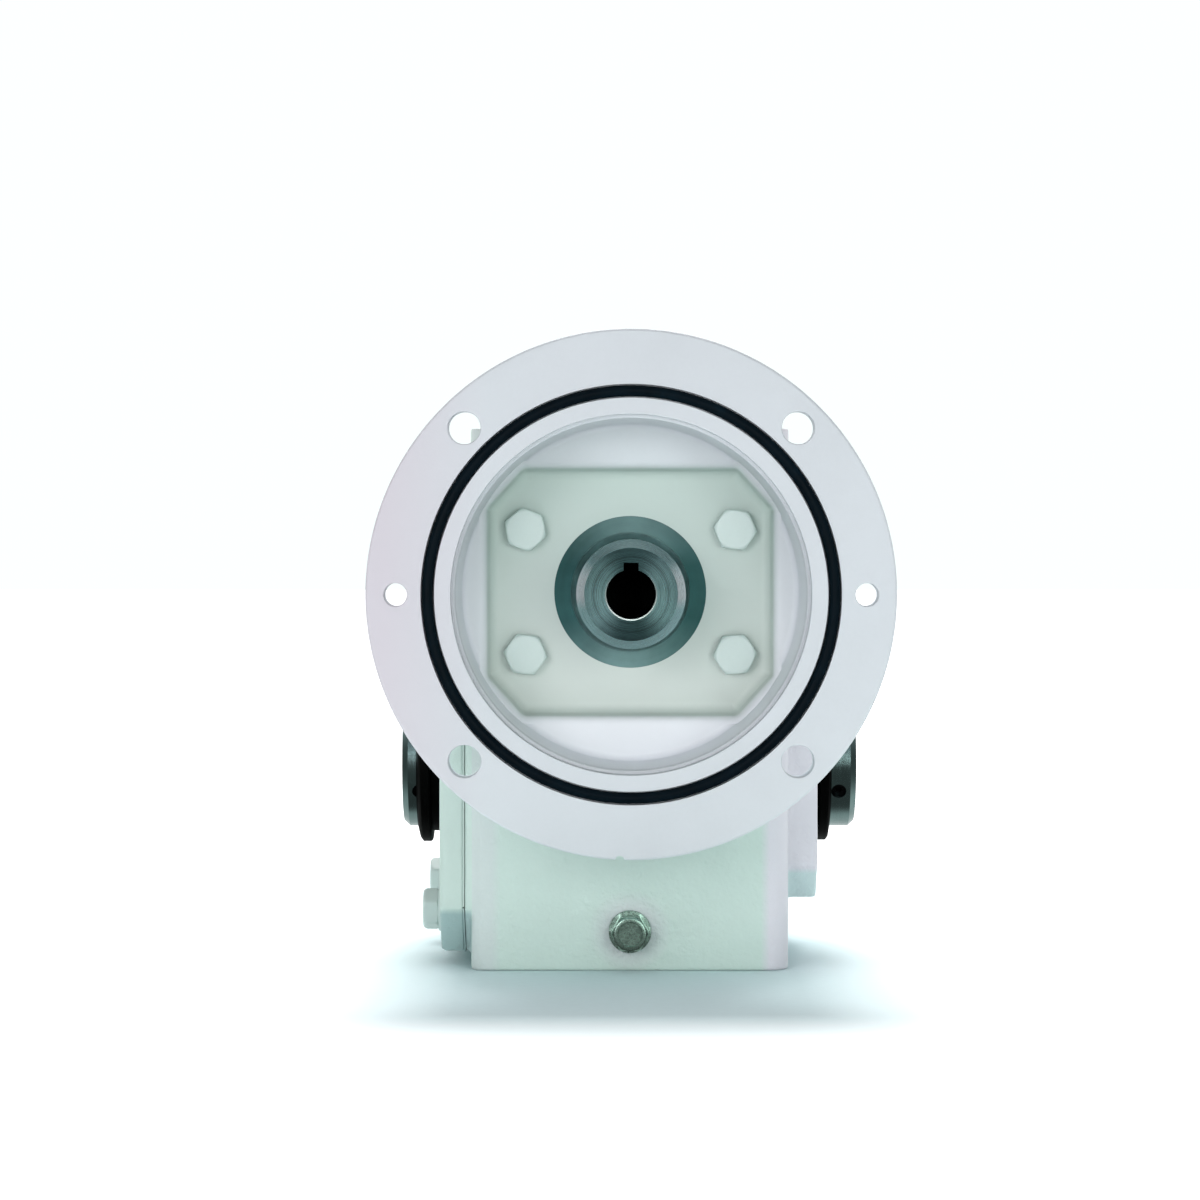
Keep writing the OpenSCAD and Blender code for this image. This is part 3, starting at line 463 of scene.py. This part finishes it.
# ---------------------------------------------------------------- mesh helpers
def new_object(name, verts, faces, material, smooth=math.radians(32)):
    """A smooth-shaded object with edges sharper than smooth kept sharp."""
    mesh = bpy.data.meshes.new(name)
    mesh.from_pydata([tuple(v) for v in verts], [], faces)
    mesh.validate()
    bm = bmesh.new()
    bm.from_mesh(mesh)
    bmesh.ops.recalc_face_normals(bm, faces=bm.faces)
    bm.to_mesh(mesh)
    bm.free()
    mesh.polygons.foreach_set("use_smooth", [True] * len(mesh.polygons))
    mesh.set_sharp_from_angle(angle=smooth)
    obj = bpy.data.objects.new(name, mesh)
    scene.collection.objects.link(obj)
    if material is not None:
        mesh.materials.append(material)
    return obj


def rounded(points, seg=6):
    """A closed outline of (a, b, fillet radius) corners as a list of (a, b) points."""
    out = []
    n = len(points)
    for i, (a, b, r) in enumerate(points):
        here = Vector((a, b))
        before = Vector(points[i - 1][:2]) - here
        after = Vector(points[(i + 1) % n][:2]) - here
        if r <= 0:
            out.append((a, b))
            continue
        angle = before.angle(after)
        reach = min(r / math.tan(angle / 2), before.length * 0.49, after.length * 0.49)
        real = reach * math.tan(angle / 2)
        p, q = here + before.normalized() * reach, here + after.normalized() * reach
        centre = here + (before.normalized() + after.normalized()).normalized() * (real / math.sin(angle / 2))
        va, vb = p - centre, q - centre
        sweep = va.angle_signed(vb)
        for k in range(seg + 1):
            turn = Matrix.Rotation(-sweep * k / seg, 2)
            out.append(tuple(centre + turn @ va))
    return out


def spin(name, outline, axis, z, material, n):
    """Turns a closed outline of (radius, position) points, in metres, about an axis at height z."""
    verts, faces = [], []
    m = len(outline)
    for i in range(n):
        a = 2 * math.pi * i / n
        for r, p in outline:
            c, s = r * math.cos(a), r * math.sin(a)
            verts.append((p, c, z + s) if axis == "X" else (c, p, z + s))
    for i in range(n):
        j = (i + 1) % n
        for k in range(m):
            after = (k + 1) % m
            faces.append((i * m + k, i * m + after, j * m + after, j * m + k))
    return new_object(name, verts, faces, material)


def loft(name, loops, material, smooth=math.radians(32)):
    """Joins equal closed loops of points one after the other and caps both ends."""
    m = len(loops[0])
    verts = [v for loop in loops for v in loop]
    faces = []
    for i in range(len(loops) - 1):
        for k in range(m):
            after = (k + 1) % m
            faces.append((i * m + k, i * m + after, (i + 1) * m + after, (i + 1) * m + k))
    faces.append(tuple(range(m))[::-1])
    faces.append(tuple((len(loops) - 1) * m + k for k in range(m)))
    return new_object(name, verts, faces, material, smooth)


def cut_rect(half_w, half_h, cut_w, cut_h, grow, radius):
    """Octagon with rounded corners, grown outward by grow."""
    w, h = half_w + grow, half_h + grow
    slant = math.hypot(cut_w, cut_h)
    cw = cut_w + grow * (cut_w + cut_h - slant) / max(cut_h, 1e-9)
    ch = cut_h + grow * (cut_w + cut_h - slant) / max(cut_w, 1e-9)
    r = max(radius + grow, 1e-5)
    corners = [(w, -h + ch), (w, h - ch), (w - cw, h), (-w + cw, h),
               (-w, h - ch), (-w, -h + ch), (-w + cw, -h), (w - cw, -h)]
    return rounded([(a, b, r) for a, b in corners], 5)


def hole_levels(radius, front, back, lip):
    """(position, radius) levels of a cutter whose ends flare into rounded rims."""
    out = [(front - lip, radius + lip)]
    for i in range(6):
        a = math.pi / 2 * i / 5
        out.append((front + lip - lip * math.cos(a), radius + lip - lip * math.sin(a)))
    for i in range(6):
        a = math.pi / 2 * (1 - i / 5)
        out.append((back - lip + lip * math.cos(a), radius + lip - lip * math.sin(a)))
    out.append((back + lip, radius + lip))
    return out


def round_cutter(name, x, z, levels, n=64):
    """A cutter turned about the Y direction through (x, z), from (position, radius) levels."""
    turns = [2 * math.pi * i / n for i in range(n)]
    loops = [[(x + r * math.cos(a), y, z + r * math.sin(a)) for a in turns] for y, r in levels]
    return loft(name, loops, None)


def boolean(target, other, operation):
    """Adds a union or a cut; settle() applies it."""
    mod = target.modifiers.new(other.name, "BOOLEAN")
    mod.operation = operation
    mod.solver = "EXACT"
    mod.object = other


def settle(obj, extras=(), material=None, smooth=math.radians(32)):
    """Applies the modifiers, drops the helper objects and sets smooth shading with weighted normals."""
    bpy.context.view_layer.update()
    mesh = bpy.data.meshes.new_from_object(obj.evaluated_get(bpy.context.evaluated_depsgraph_get()))
    old = obj.data
    obj.modifiers.clear()
    obj.data = mesh
    mesh.name = obj.name
    bpy.data.meshes.remove(old)
    for extra in extras:
        data = extra.data
        bpy.data.objects.remove(extra)
        bpy.data.meshes.remove(data)
    mesh.materials.clear()
    if material is not None:
        mesh.materials.append(material)
    mesh.polygons.foreach_set("material_index", [0] * len(mesh.polygons))
    mesh.polygons.foreach_set("use_smooth", [True] * len(mesh.polygons))
    mesh.set_sharp_from_angle(angle=smooth)
    weigh(obj)
    return obj


def weigh(obj):
    """Weighted normals, so that flat faces shade flat next to small fillets."""
    mod = obj.modifiers.new("weighted_normal", "WEIGHTED_NORMAL")
    mod.keep_sharp = True
    mod.weight = 80


def stands_for(obj, body, slot, *replaced):
    """Ties an object to its body, in place of the CAD nodes named, which it hides; slot is not used."""
    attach(obj, body)
    if replaced:
        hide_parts(*replaced)
    return obj


def cast_copy(node, name, voxel, passes, material, ratio, sag=0.00012):
    """The CAD shape with soft cast edges and a slightly uneven skin, never outside the CAD shape."""
    obj = bpy.data.objects.new(name, nodes[node].data.copy())
    scene.collection.objects.link(obj)
    remesh = obj.modifiers.new("remesh", "REMESH")
    remesh.mode = "VOXEL"
    remesh.voxel_size = voxel
    soft = obj.modifiers.new("soft", "SMOOTH")
    soft.factor = 0.5
    soft.iterations = passes
    skin = bpy.data.textures.new(name + "_skin", "CLOUDS")
    skin.noise_scale = 0.007
    skin.noise_depth = 2
    push = obj.modifiers.new("skin", "DISPLACE")
    push.texture = skin
    push.texture_coords = "LOCAL"
    push.strength = sag
    push.mid_level = 1.0
    thin = obj.modifiers.new("thin", "DECIMATE")
    thin.ratio = ratio
    return settle(obj, (), material, math.radians(60))


# ---------------------------------------------------------------- motor flange
def build_flange():
    """The motor flange: a turned body, an octagonal base plate and the pocket cut into its cup."""
    mm = MM
    face = FACE_Y
    outline = rounded([
        (84.12 * mm, face, 0.9 * mm), (84.12 * mm, face + 11 * mm, 1.2 * mm),
        (68.5 * mm, face + 11 * mm, 5 * mm), (62.4 * mm, face + 17 * mm, 3 * mm),
        (61 * mm, SPIGOT_Y[0], 0.4 * mm), (34 * mm, SPIGOT_Y[0], 0), (34 * mm, SPIGOT_Y[1], 0.4 * mm),
        (31 * mm, SPIGOT_Y[1], 0.3 * mm), (31 * mm, -0.064, 0.2 * mm), (25 * mm, -0.064, 0.2 * mm),
        (25 * mm, -0.083, 0), (55 * mm, -0.083, 2.2 * mm), (56 * mm, face + 5 * mm, 0.5 * mm),
        (57.15 * mm, face + 5 * mm, 0.2 * mm), (57.15 * mm, face, 0.35 * mm),
        (62.4 * mm, face, 0.25 * mm), (62.4 * mm, face + 2.75 * mm, 0.3 * mm),
        (66.6 * mm, face + 2.75 * mm, 0.3 * mm), (66.6 * mm, face, 0.25 * mm)])
    body = spin("flange", outline, "Y", WORM_Z, flange_paint, 256)
    # octagonal base plate with soft edges, open in the middle for the spigot
    levels = [(-0.0770, -1.2), (-0.0767, -0.5), (-0.0760, 0.0),
              (-0.0642, 0.0), (-0.0634, -0.3), (-0.0630, -1.0)]
    loops = [[(a, y, WORM_Z + b) for a, b in cut_rect(53 * mm, 46 * mm, 13 * mm, 14 * mm, g * mm, 3 * mm)]
             for y, g in levels]
    plate = loft("base_plate", loops, None)
    bore = round_cutter("plate_bore", 0, WORM_Z, [(-0.09, 32.5 * mm), (-0.04, 32.5 * mm)], 128)
    boolean(plate, bore, "DIFFERENCE")
    boolean(body, plate, "UNION")
    # pocket with rounded rim, soft corners and a filleted floor
    rim, fillet = 2.6, 3.2
    levels = [(-0.0870, rim)] + [(-0.0830 + rim * mm * (1 - math.cos(a)), rim * (1 - math.sin(a)))
                                 for a in [math.pi / 2 * i / 5 for i in range(6)]]
    levels += [(SEAT_Y - fillet * mm * (1 - math.sin(a)), -fillet * (1 - math.cos(a)) - 0.5)
               for a in [math.pi / 2 * i / 6 for i in range(7)]]
    loops = [[(a, y, WORM_Z + b)
              for a, b in cut_rect(46.7 * mm, 40.4 * mm, 11.7 * mm, 13 * mm, g * mm, 3.2 * mm)]
             for y, g in levels]
    pocket = loft("pocket", loops, None)
    boolean(body, pocket, "DIFFERENCE")
    cutters = [plate, bore, pocket]
    for i in range(4):
        a = math.pi / 4 + math.pi / 2 * i
        cutters.append(round_cutter(f"motor_hole_{i}", MOTOR_PITCH * math.cos(a),
                                    WORM_Z + MOTOR_PITCH * math.sin(a),
                                    hole_levels(5.16 * mm, face, face + 11 * mm, 0.45 * mm)))
    for i in range(2):
        cutters.append(round_cutter(f"side_hole_{i}", MOTOR_PITCH * (1 - 2 * i), WORM_Z,
                                    hole_levels(3.65 * mm, face, face + 11 * mm, 0.4 * mm)))
    for sx in (-1, 1):
        for sz in (-1, 1):
            cutters.append(round_cutter(f"screw_hole_{sx}_{sz}", sx * SCREW_X, WORM_Z + sz * SCREW_Z,
                                        [(-0.08, 4.2 * mm), (-0.05, 4.2 * mm)], 32))
    cutters.append(round_cutter("notch", -3.6 * mm, WORM_Z - 84.15 * mm,
                                [(face - 0.001, 1.5 * mm), (face + 0.012, 1.5 * mm)], 32))
    for hole in cutters[3:]:
        boolean(body, hole, "DIFFERENCE")
    settle(body, cutters, flange_paint)
    return stands_for(body, "gearcase", "paint", "motor_flange")


# ---------------------------------------------------------------- screws
def ring_at(radius, height):
    """One round ring of (angle, radius, height) points."""
    return [(2 * math.pi * i / ROUND, radius, height) for i in range(ROUND)]


def head_loops(af, levels, turn, soft):
    """Rings of a hexagon head, af across its flats: each level is (height, limiting radius)."""
    flat = af / 2
    loops = []
    for height, limit in levels:
        ring = []
        for i in range(ROUND):
            a = 2 * math.pi * i / ROUND
            d = (a - turn + math.pi / 6) % (math.pi / 3) - math.pi / 6
            hexagon = flat / math.cos(d)
            # smooth minimum of the hexagon and the limiting circle
            h = max(soft - abs(hexagon - limit), 0.0) / soft
            ring.append((a, min(hexagon, limit) - h * h * soft / 4, height))
        loops.append(ring)
    return loops


def screw_mesh(places, turns, af, head, shank, length, to_world, name, material):
    """Several painted hexagon screws as one object, each a closed solid. af is the head across its
    flats, head its height, shank the shank's radius, and to_world(place, u, v, height) a point's place."""
    verts, faces = [], []
    top = af * 0.475
    corner = af / 2 / math.cos(math.pi / 6)
    levels = [(0.0, af * 0.50), (head * 0.04, af * 0.535), (head * 0.12, corner * 0.985),
              (head * 0.70, corner * 0.985), (head * 0.80, corner * 0.965), (head * 0.90, af * 0.525),
              (head * 0.965, af * 0.495), (head * 0.995, top * 0.97), (head, top * 0.88), (head, top * 0.4)]
    for place, turn in zip(places, turns):
        rings = [ring_at(shank, -length), ring_at(shank, 0.0)]
        rings += head_loops(af, levels, turn, af * 0.03)
        base = len(verts)
        for ring in rings:
            for a, r, h in ring:
                verts.append(to_world(place, r * math.cos(a), r * math.sin(a), h))
        for i in range(len(rings) - 1):
            low, high = base + i * ROUND, base + (i + 1) * ROUND
            for k in range(ROUND):
                after = (k + 1) % ROUND
                faces.append((low + k, low + after, high + after, high + k))
        last = base + (len(rings) - 1) * ROUND
        faces.append(tuple(base + k for k in range(ROUND))[::-1])
        faces.append(tuple(last + k for k in range(ROUND)))
    obj = new_object(name, verts, faces, material, math.radians(50))
    weigh(obj)
    return obj


def build_screws():
    """The painted screws of the flange, the side cover and the rear cover."""
    mm = MM
    places = [(sx * SCREW_X, WORM_Z + sz * SCREW_Z) for sx in (-1, 1) for sz in (-1, 1)]
    turns = [math.radians(a) for a in (23, 10, 34, 24)]
    obj = screw_mesh(places, turns, 12.7 * mm, 5.3 * mm, 3.95 * mm, 25.9 * mm,
                     lambda p, u, v, h: (p[0] + u, SEAT_Y - h, p[1] + v), "flange_screws", bolt_paint)
    stands_for(obj, "gearcase", "paint", "flange_bolts")
    places = [(-COVER_PITCH * math.sin(math.radians(a)), -COVER_PITCH * math.cos(math.radians(a)))
              for a in (24, 144, 204, 324)]
    turns = [math.radians(a) for a in (7, 24, 7, 3)]
    obj = screw_mesh(places, turns, 12.7 * mm, 5.3 * mm, 3.95 * mm, 24.9 * mm,
                     lambda p, u, v, h: (-SIDE_X - 1.8 * mm - h, p[0] + u, p[1] + v),
                     "cover_screws", side_bolt_paint)
    stands_for(obj, "gearcase", "paint", "side_cover_bolts")
    places = [(REAR_PITCH * math.cos(math.radians(a)), WORM_Z + REAR_PITCH * math.sin(math.radians(a)))
              for a in (45, 135, 225, 315)]
    turns = [math.radians(17 * i) for i in range(4)]
    obj = screw_mesh(places, turns, 11.1 * mm, 4.4 * mm, 3.15 * mm, 16.9 * mm,
                     lambda p, u, v, h: (p[0] + u, REAR_Y + h, p[1] + v), "rear_screws", bolt_paint)
    stands_for(obj, "gearcase", "paint", "rear_cover_bolts")


# ---------------------------------------------------------------- rings and seals
def build_rings():
    """The O-ring in the flange's face and the two V-rings on the output shaft."""
    mm = MM
    middle, depth, section = 64.5 * mm, 0.97 * mm, 1.75 * mm
    n = 28
    outline = [(middle + section * math.cos(2 * math.pi * i / n),
                FACE_Y + depth + section * math.sin(2 * math.pi * i / n)) for i in range(n)]
    ring = spin("face_o_ring", outline, "Y", WORM_Z, rubber, 256)
    stands_for(ring, "gearcase", "rubber", "flange_o_ring")
    r = 22.5    # the shaft's radius, in millimetres like the outlines below
    left = rounded([(a * mm, b * mm, f * mm) for a, b, f in [
        (r, -63.9, 0.1), (23.6, -63.9, 0.3), (24.2, -64.7, 0.3), (24.2, -68.1, 0.5), (27.4, -68.2, 0.5),
        (27.9, -68.8, 0.5), (27.9, -71.4, 0.6), (26.6, -72.3, 0.8), (r + 0.9, -73.1, 0.4),
        (r, -73.1, 0.1)]], 4)
    stands_for(spin("v_ring_left", left, "X", 0.0, lip_rubber, 160), "output", "rubber", "left_v_ring")
    right = rounded([(a * mm, b * mm, f * mm) for a, b, f in [
        (r, 64.3, 0.1), (r, 69.4, 0.1), (r + 1.0, 69.4, 0.4), (26.6, 68.9, 0.5), (27.4, 68.2, 0.5),
        (27.4, 65.4, 0.5), (26.6, 64.8, 0.5), (23.8, 64.3, 0.5)]], 4)
    stands_for(spin("v_ring_right", right, "X", 0.0, lip_rubber, 160), "output", "rubber", "right_v_ring")


def build_plug(name, node, place, outward, turn):
    """Stainless plug: round collar, hexagon head with a turned crown, and its shank."""
    mm = MM
    af = 11.1 * mm
    corner = af / 2 / math.cos(math.pi / 6)
    rings = [ring_at(4.9 * mm, -11 * mm), ring_at(4.9 * mm, 0.0), ring_at(6.9 * mm, 0.0),
             ring_at(7.1 * mm, 0.25 * mm), ring_at(7.1 * mm, 1.8 * mm), ring_at(6.95 * mm, 2.1 * mm)]
    levels = [(2.2 * mm, corner * 0.99), (2.6 * mm, corner * 0.99), (9.0 * mm, corner * 0.99),
              (9.35 * mm, af * 0.548), (9.75 * mm, af * 0.505), (9.95 * mm, af * 0.475),
              (10.0 * mm, af * 0.455), (10.0 * mm, af * 0.37), (9.75 * mm, af * 0.35), (9.75 * mm, af * 0.1)]
    rings += head_loops(af, levels, turn, af * 0.02)
    loops = [[(place[0] + r * math.cos(a), place[1] + outward * h, place[2] + r * math.sin(a))
              for a, r, h in ring] for ring in rings]
    obj = loft(name, loops, stainless, math.radians(40))
    weigh(obj)
    stands_for(obj, "gearcase", "stainless", node)


# ---------------------------------------------------------------- CAD nodes that stay
def soften(node, width, seg=3):
    """Bevels the sharp edges of a CAD node that stays."""
    mod = nodes[node].modifiers.new("edge", "BEVEL")
    mod.width = width
    mod.segments = seg
    mod.limit_method = "ANGLE"
    mod.angle_limit = math.radians(35)
    mod.use_clamp_overlap = True
    weigh(nodes[node])


def dress(node, material):
    """Gives a CAD node its material and smooth shading."""
    mesh = nodes[node].data
    mesh.materials.clear()
    mesh.materials.append(material)
    mesh.polygons.foreach_set("use_smooth", [True] * len(mesh.polygons))
    mesh.set_sharp_from_angle(angle=math.radians(28))


FINISH = {
    "housing": cast_paint, "motor_flange": flange_paint, "flange_gasket": fibre,
    "flange_o_ring": rubber, "flange_bolts": bolt_paint, "input_seal_case": seal_steel,
    "input_seal_lip": seal_rubber, "front_snap_ring": spring_steel, "rear_snap_ring": spring_steel,
    "worm_shaft": input_steel, "rear_cover": cover_paint, "rear_cover_gasket": fibre,
    "rear_cover_bolts": bolt_paint, "side_cover": cover_paint, "side_cover_gasket": gasket_paint,
    "side_cover_bolts": bolt_paint, "side_cover_washers": bolt_paint,
    "left_seal_case": side_seal_steel, "left_seal_lip": lip_rubber,
    "right_seal_case": side_seal_steel, "right_seal_lip": lip_rubber,
    "left_v_ring": lip_rubber, "right_v_ring": lip_rubber, "output_shaft": output_steel,
    "worm_wheel_rim": bronze, "worm_wheel_hub": hub_iron, "wheel_key": key_steel,
    "left_spacer": key_steel, "right_spacer": key_steel, "set_screws": black_oxide,
    "drain_plug": stainless, "level_plug": stainless, "breather_body": stainless,
    "breather_cap": stainless, "nameplate": plate_steel, "nameplate_pins": stainless}
for place in ("front", "rear", "left", "right"):
    FINISH[place + "_bearing_outer_race"] = race_steel
    FINISH[place + "_bearing_inner_race"] = race_steel
    FINISH[place + "_bearing_balls"] = ball_steel
    FINISH[place + "_bearing_cage"] = cage_brass
for node, material in FINISH.items():
    dress(node, material)

# ---------------------------------------------------------------- the pieces that replace CAD nodes
build_flange()
build_screws()
build_rings()
build_plug("plug_drain", "drain_plug", (0.0, -0.0625, PLUG_Z), -1, math.radians(30))
build_plug("plug_level", "level_plug", (0.0, 0.063, -0.006), 1, math.radians(30))
VOXEL = 0.0008    # metres; coarse for quick tests
housing = cast_copy("housing", "housing_cast", VOXEL, 7, cast_paint, 0.30)
stands_for(housing, "gearcase", "paint", "housing")
cover = cast_copy("side_cover", "side_cover_cast", VOXEL * 0.85, 4, cover_paint, 0.35, 0.00006)
stands_for(cover, "gearcase", "paint", "side_cover")
cap = cast_copy("rear_cover", "rear_cover_cast", VOXEL * 0.8, 4, cover_paint, 0.35, 0.00005)
stands_for(cap, "gearcase", "paint", "rear_cover")
soften("side_cover_washers", 0.0003, 2)
soften("breather_cap", 0.0006)
soften("nameplate", 0.0002, 2)
# the paint bridges the gasket joint
bridge = nodes["side_cover_gasket"].modifiers.new("bridge", "DISPLACE")
bridge.strength = 0.0007
bridge.mid_level = 0.0

# ---------------------------------------------------------------- floor and light
STRIP_X, STRIP_Y = 0.055, 0.175     # metres to the sides and the front, past which the paper glows
bpy.ops.mesh.primitive_plane_add(size=14.0, location=(0, 0, BASE_Z))
floor = bpy.context.object
floor.name = "floor"
floor.visible_glossy = False    # the steel reflects the dim room instead of the lit paper
t = Tree("floor_paper")
fine = t.noise(300.0, 3.0, 0.6)
tone = t.ramp(fine, (0.3, (0.90, 0.90, 0.90)), (0.7, (0.92, 0.92, 0.92)))
away = t.nt.nodes.new("ShaderNodeVectorMath")
away.operation = "LENGTH"
t.link(t.coord, away.inputs[0])
# painted shadow: the paper tinted cyan round the gearbox, fading out by half a metre
tone = t.times(tone, (0.82, 0.99, 1.0), t.remap(away.outputs["Value"], 0.16, 0.50, 1.0, 0.0))
# the paper glows a little, more away from the gearbox, so that only a narrow shadow is left round it
far = t.remap(away.outputs["Value"], 0.30, 1.10, 0.0, 0.75)
xyz = t.parts()
side = t.math("MAXIMUM", t.math("SUBTRACT", t.math("ABSOLUTE", xyz[0]), STRIP_X), 0.0)
ahead = t.math("MAXIMUM", t.math("SUBTRACT", t.math("MULTIPLY", xyz[1], -1.0), STRIP_Y), 0.0)
edge = t.math("SQRT", t.math("ADD", t.math("MULTIPLY", side, side), t.math("MULTIPLY", ahead, ahead)))
glow = t.math("MAXIMUM", far, t.remap(edge, 0.0, 0.055, 0.0, 0.50))
floor.data.materials.append(t.set(Base_Color=tone, Roughness=0.9, Specular_IOR_Level=0.05,
                                  Emission_Color=(1.0, 1.0, 1.0, 1.0), Emission_Strength=glow))


def build_world():
    """A white room, dimmer low down in front so that metal reads dark and shadows form under the flange."""
    world = bpy.data.worlds.new("studio")
    world.use_nodes = True
    scene.world = world
    nt = world.node_tree
    background = nt.nodes["Background"]
    coord = nt.nodes.new("ShaderNodeTexCoord").outputs["Generated"]
    xyz = nt.nodes.new("ShaderNodeSeparateXYZ")
    nt.links.new(coord, xyz.inputs[0])

    def smooth(value, lo, hi, out_lo, out_hi):
        n = nt.nodes.new("ShaderNodeMapRange")
        n.interpolation_type = "SMOOTHSTEP"
        nt.links.new(value, n.inputs["Value"])
        for key, number in (("From Min", lo), ("From Max", hi), ("To Min", out_lo), ("To Max", out_hi)):
            n.inputs[key].default_value = number
        return n.outputs["Result"]

    front = smooth(xyz.outputs[1], 0.45, -0.15, 0.0, 1.0)
    low = smooth(xyz.outputs[2], 0.80, 1.00, 1.0, 0.3)
    both = nt.nodes.new("ShaderNodeMath")
    both.operation = "MULTIPLY"
    nt.links.new(front, both.inputs[0])
    nt.links.new(low, both.inputs[1])
    nt.links.new(smooth(both.outputs[0], 0.0, 1.0, 1.06, 0.13), background.inputs["Strength"])
    tint = nt.nodes.new("ShaderNodeMix")
    tint.data_type = "RGBA"
    nt.links.new(smooth(xyz.outputs[2], 0.10, 0.70, 0.0, 1.0), tint.inputs["Factor"])
    tint.inputs[6].default_value = (0.93, 1.0, 0.99, 1.0)
    tint.inputs[7].default_value = (1.0, 0.97, 1.0, 1.0)
    nt.links.new(tint.outputs[2], background.inputs["Color"])


def softbox(name, location, target, size, power, colour):
    """A rectangular area light of power watts, aimed at target."""
    data = bpy.data.lights.new(name, "AREA")
    data.shape = "RECTANGLE"
    data.size, data.size_y = size
    data.energy = power
    data.color = colour
    light = bpy.data.objects.new(name, data)
    light.location = location
    light.rotation_euler = (Vector(target) - Vector(location)).to_track_quat("-Z", "Y").to_euler()
    scene.collection.objects.link(light)


build_world()
softbox("top", (0.0, 0.70, 1.15), (0, -0.05, 0), (0.8, 0.7), 15.0, (1.0, 0.98, 1.0))
softbox("key", (-0.56, -1.52, 0.30), (0, 0, 0.05), (0.6, 0.5), 7.8, (1.0, 0.96, 1.0))
softbox("fill", (0.54, -1.54, 0.22), (0, 0, 0.05), (0.6, 0.5), 5.9, (0.95, 1.0, 0.99))
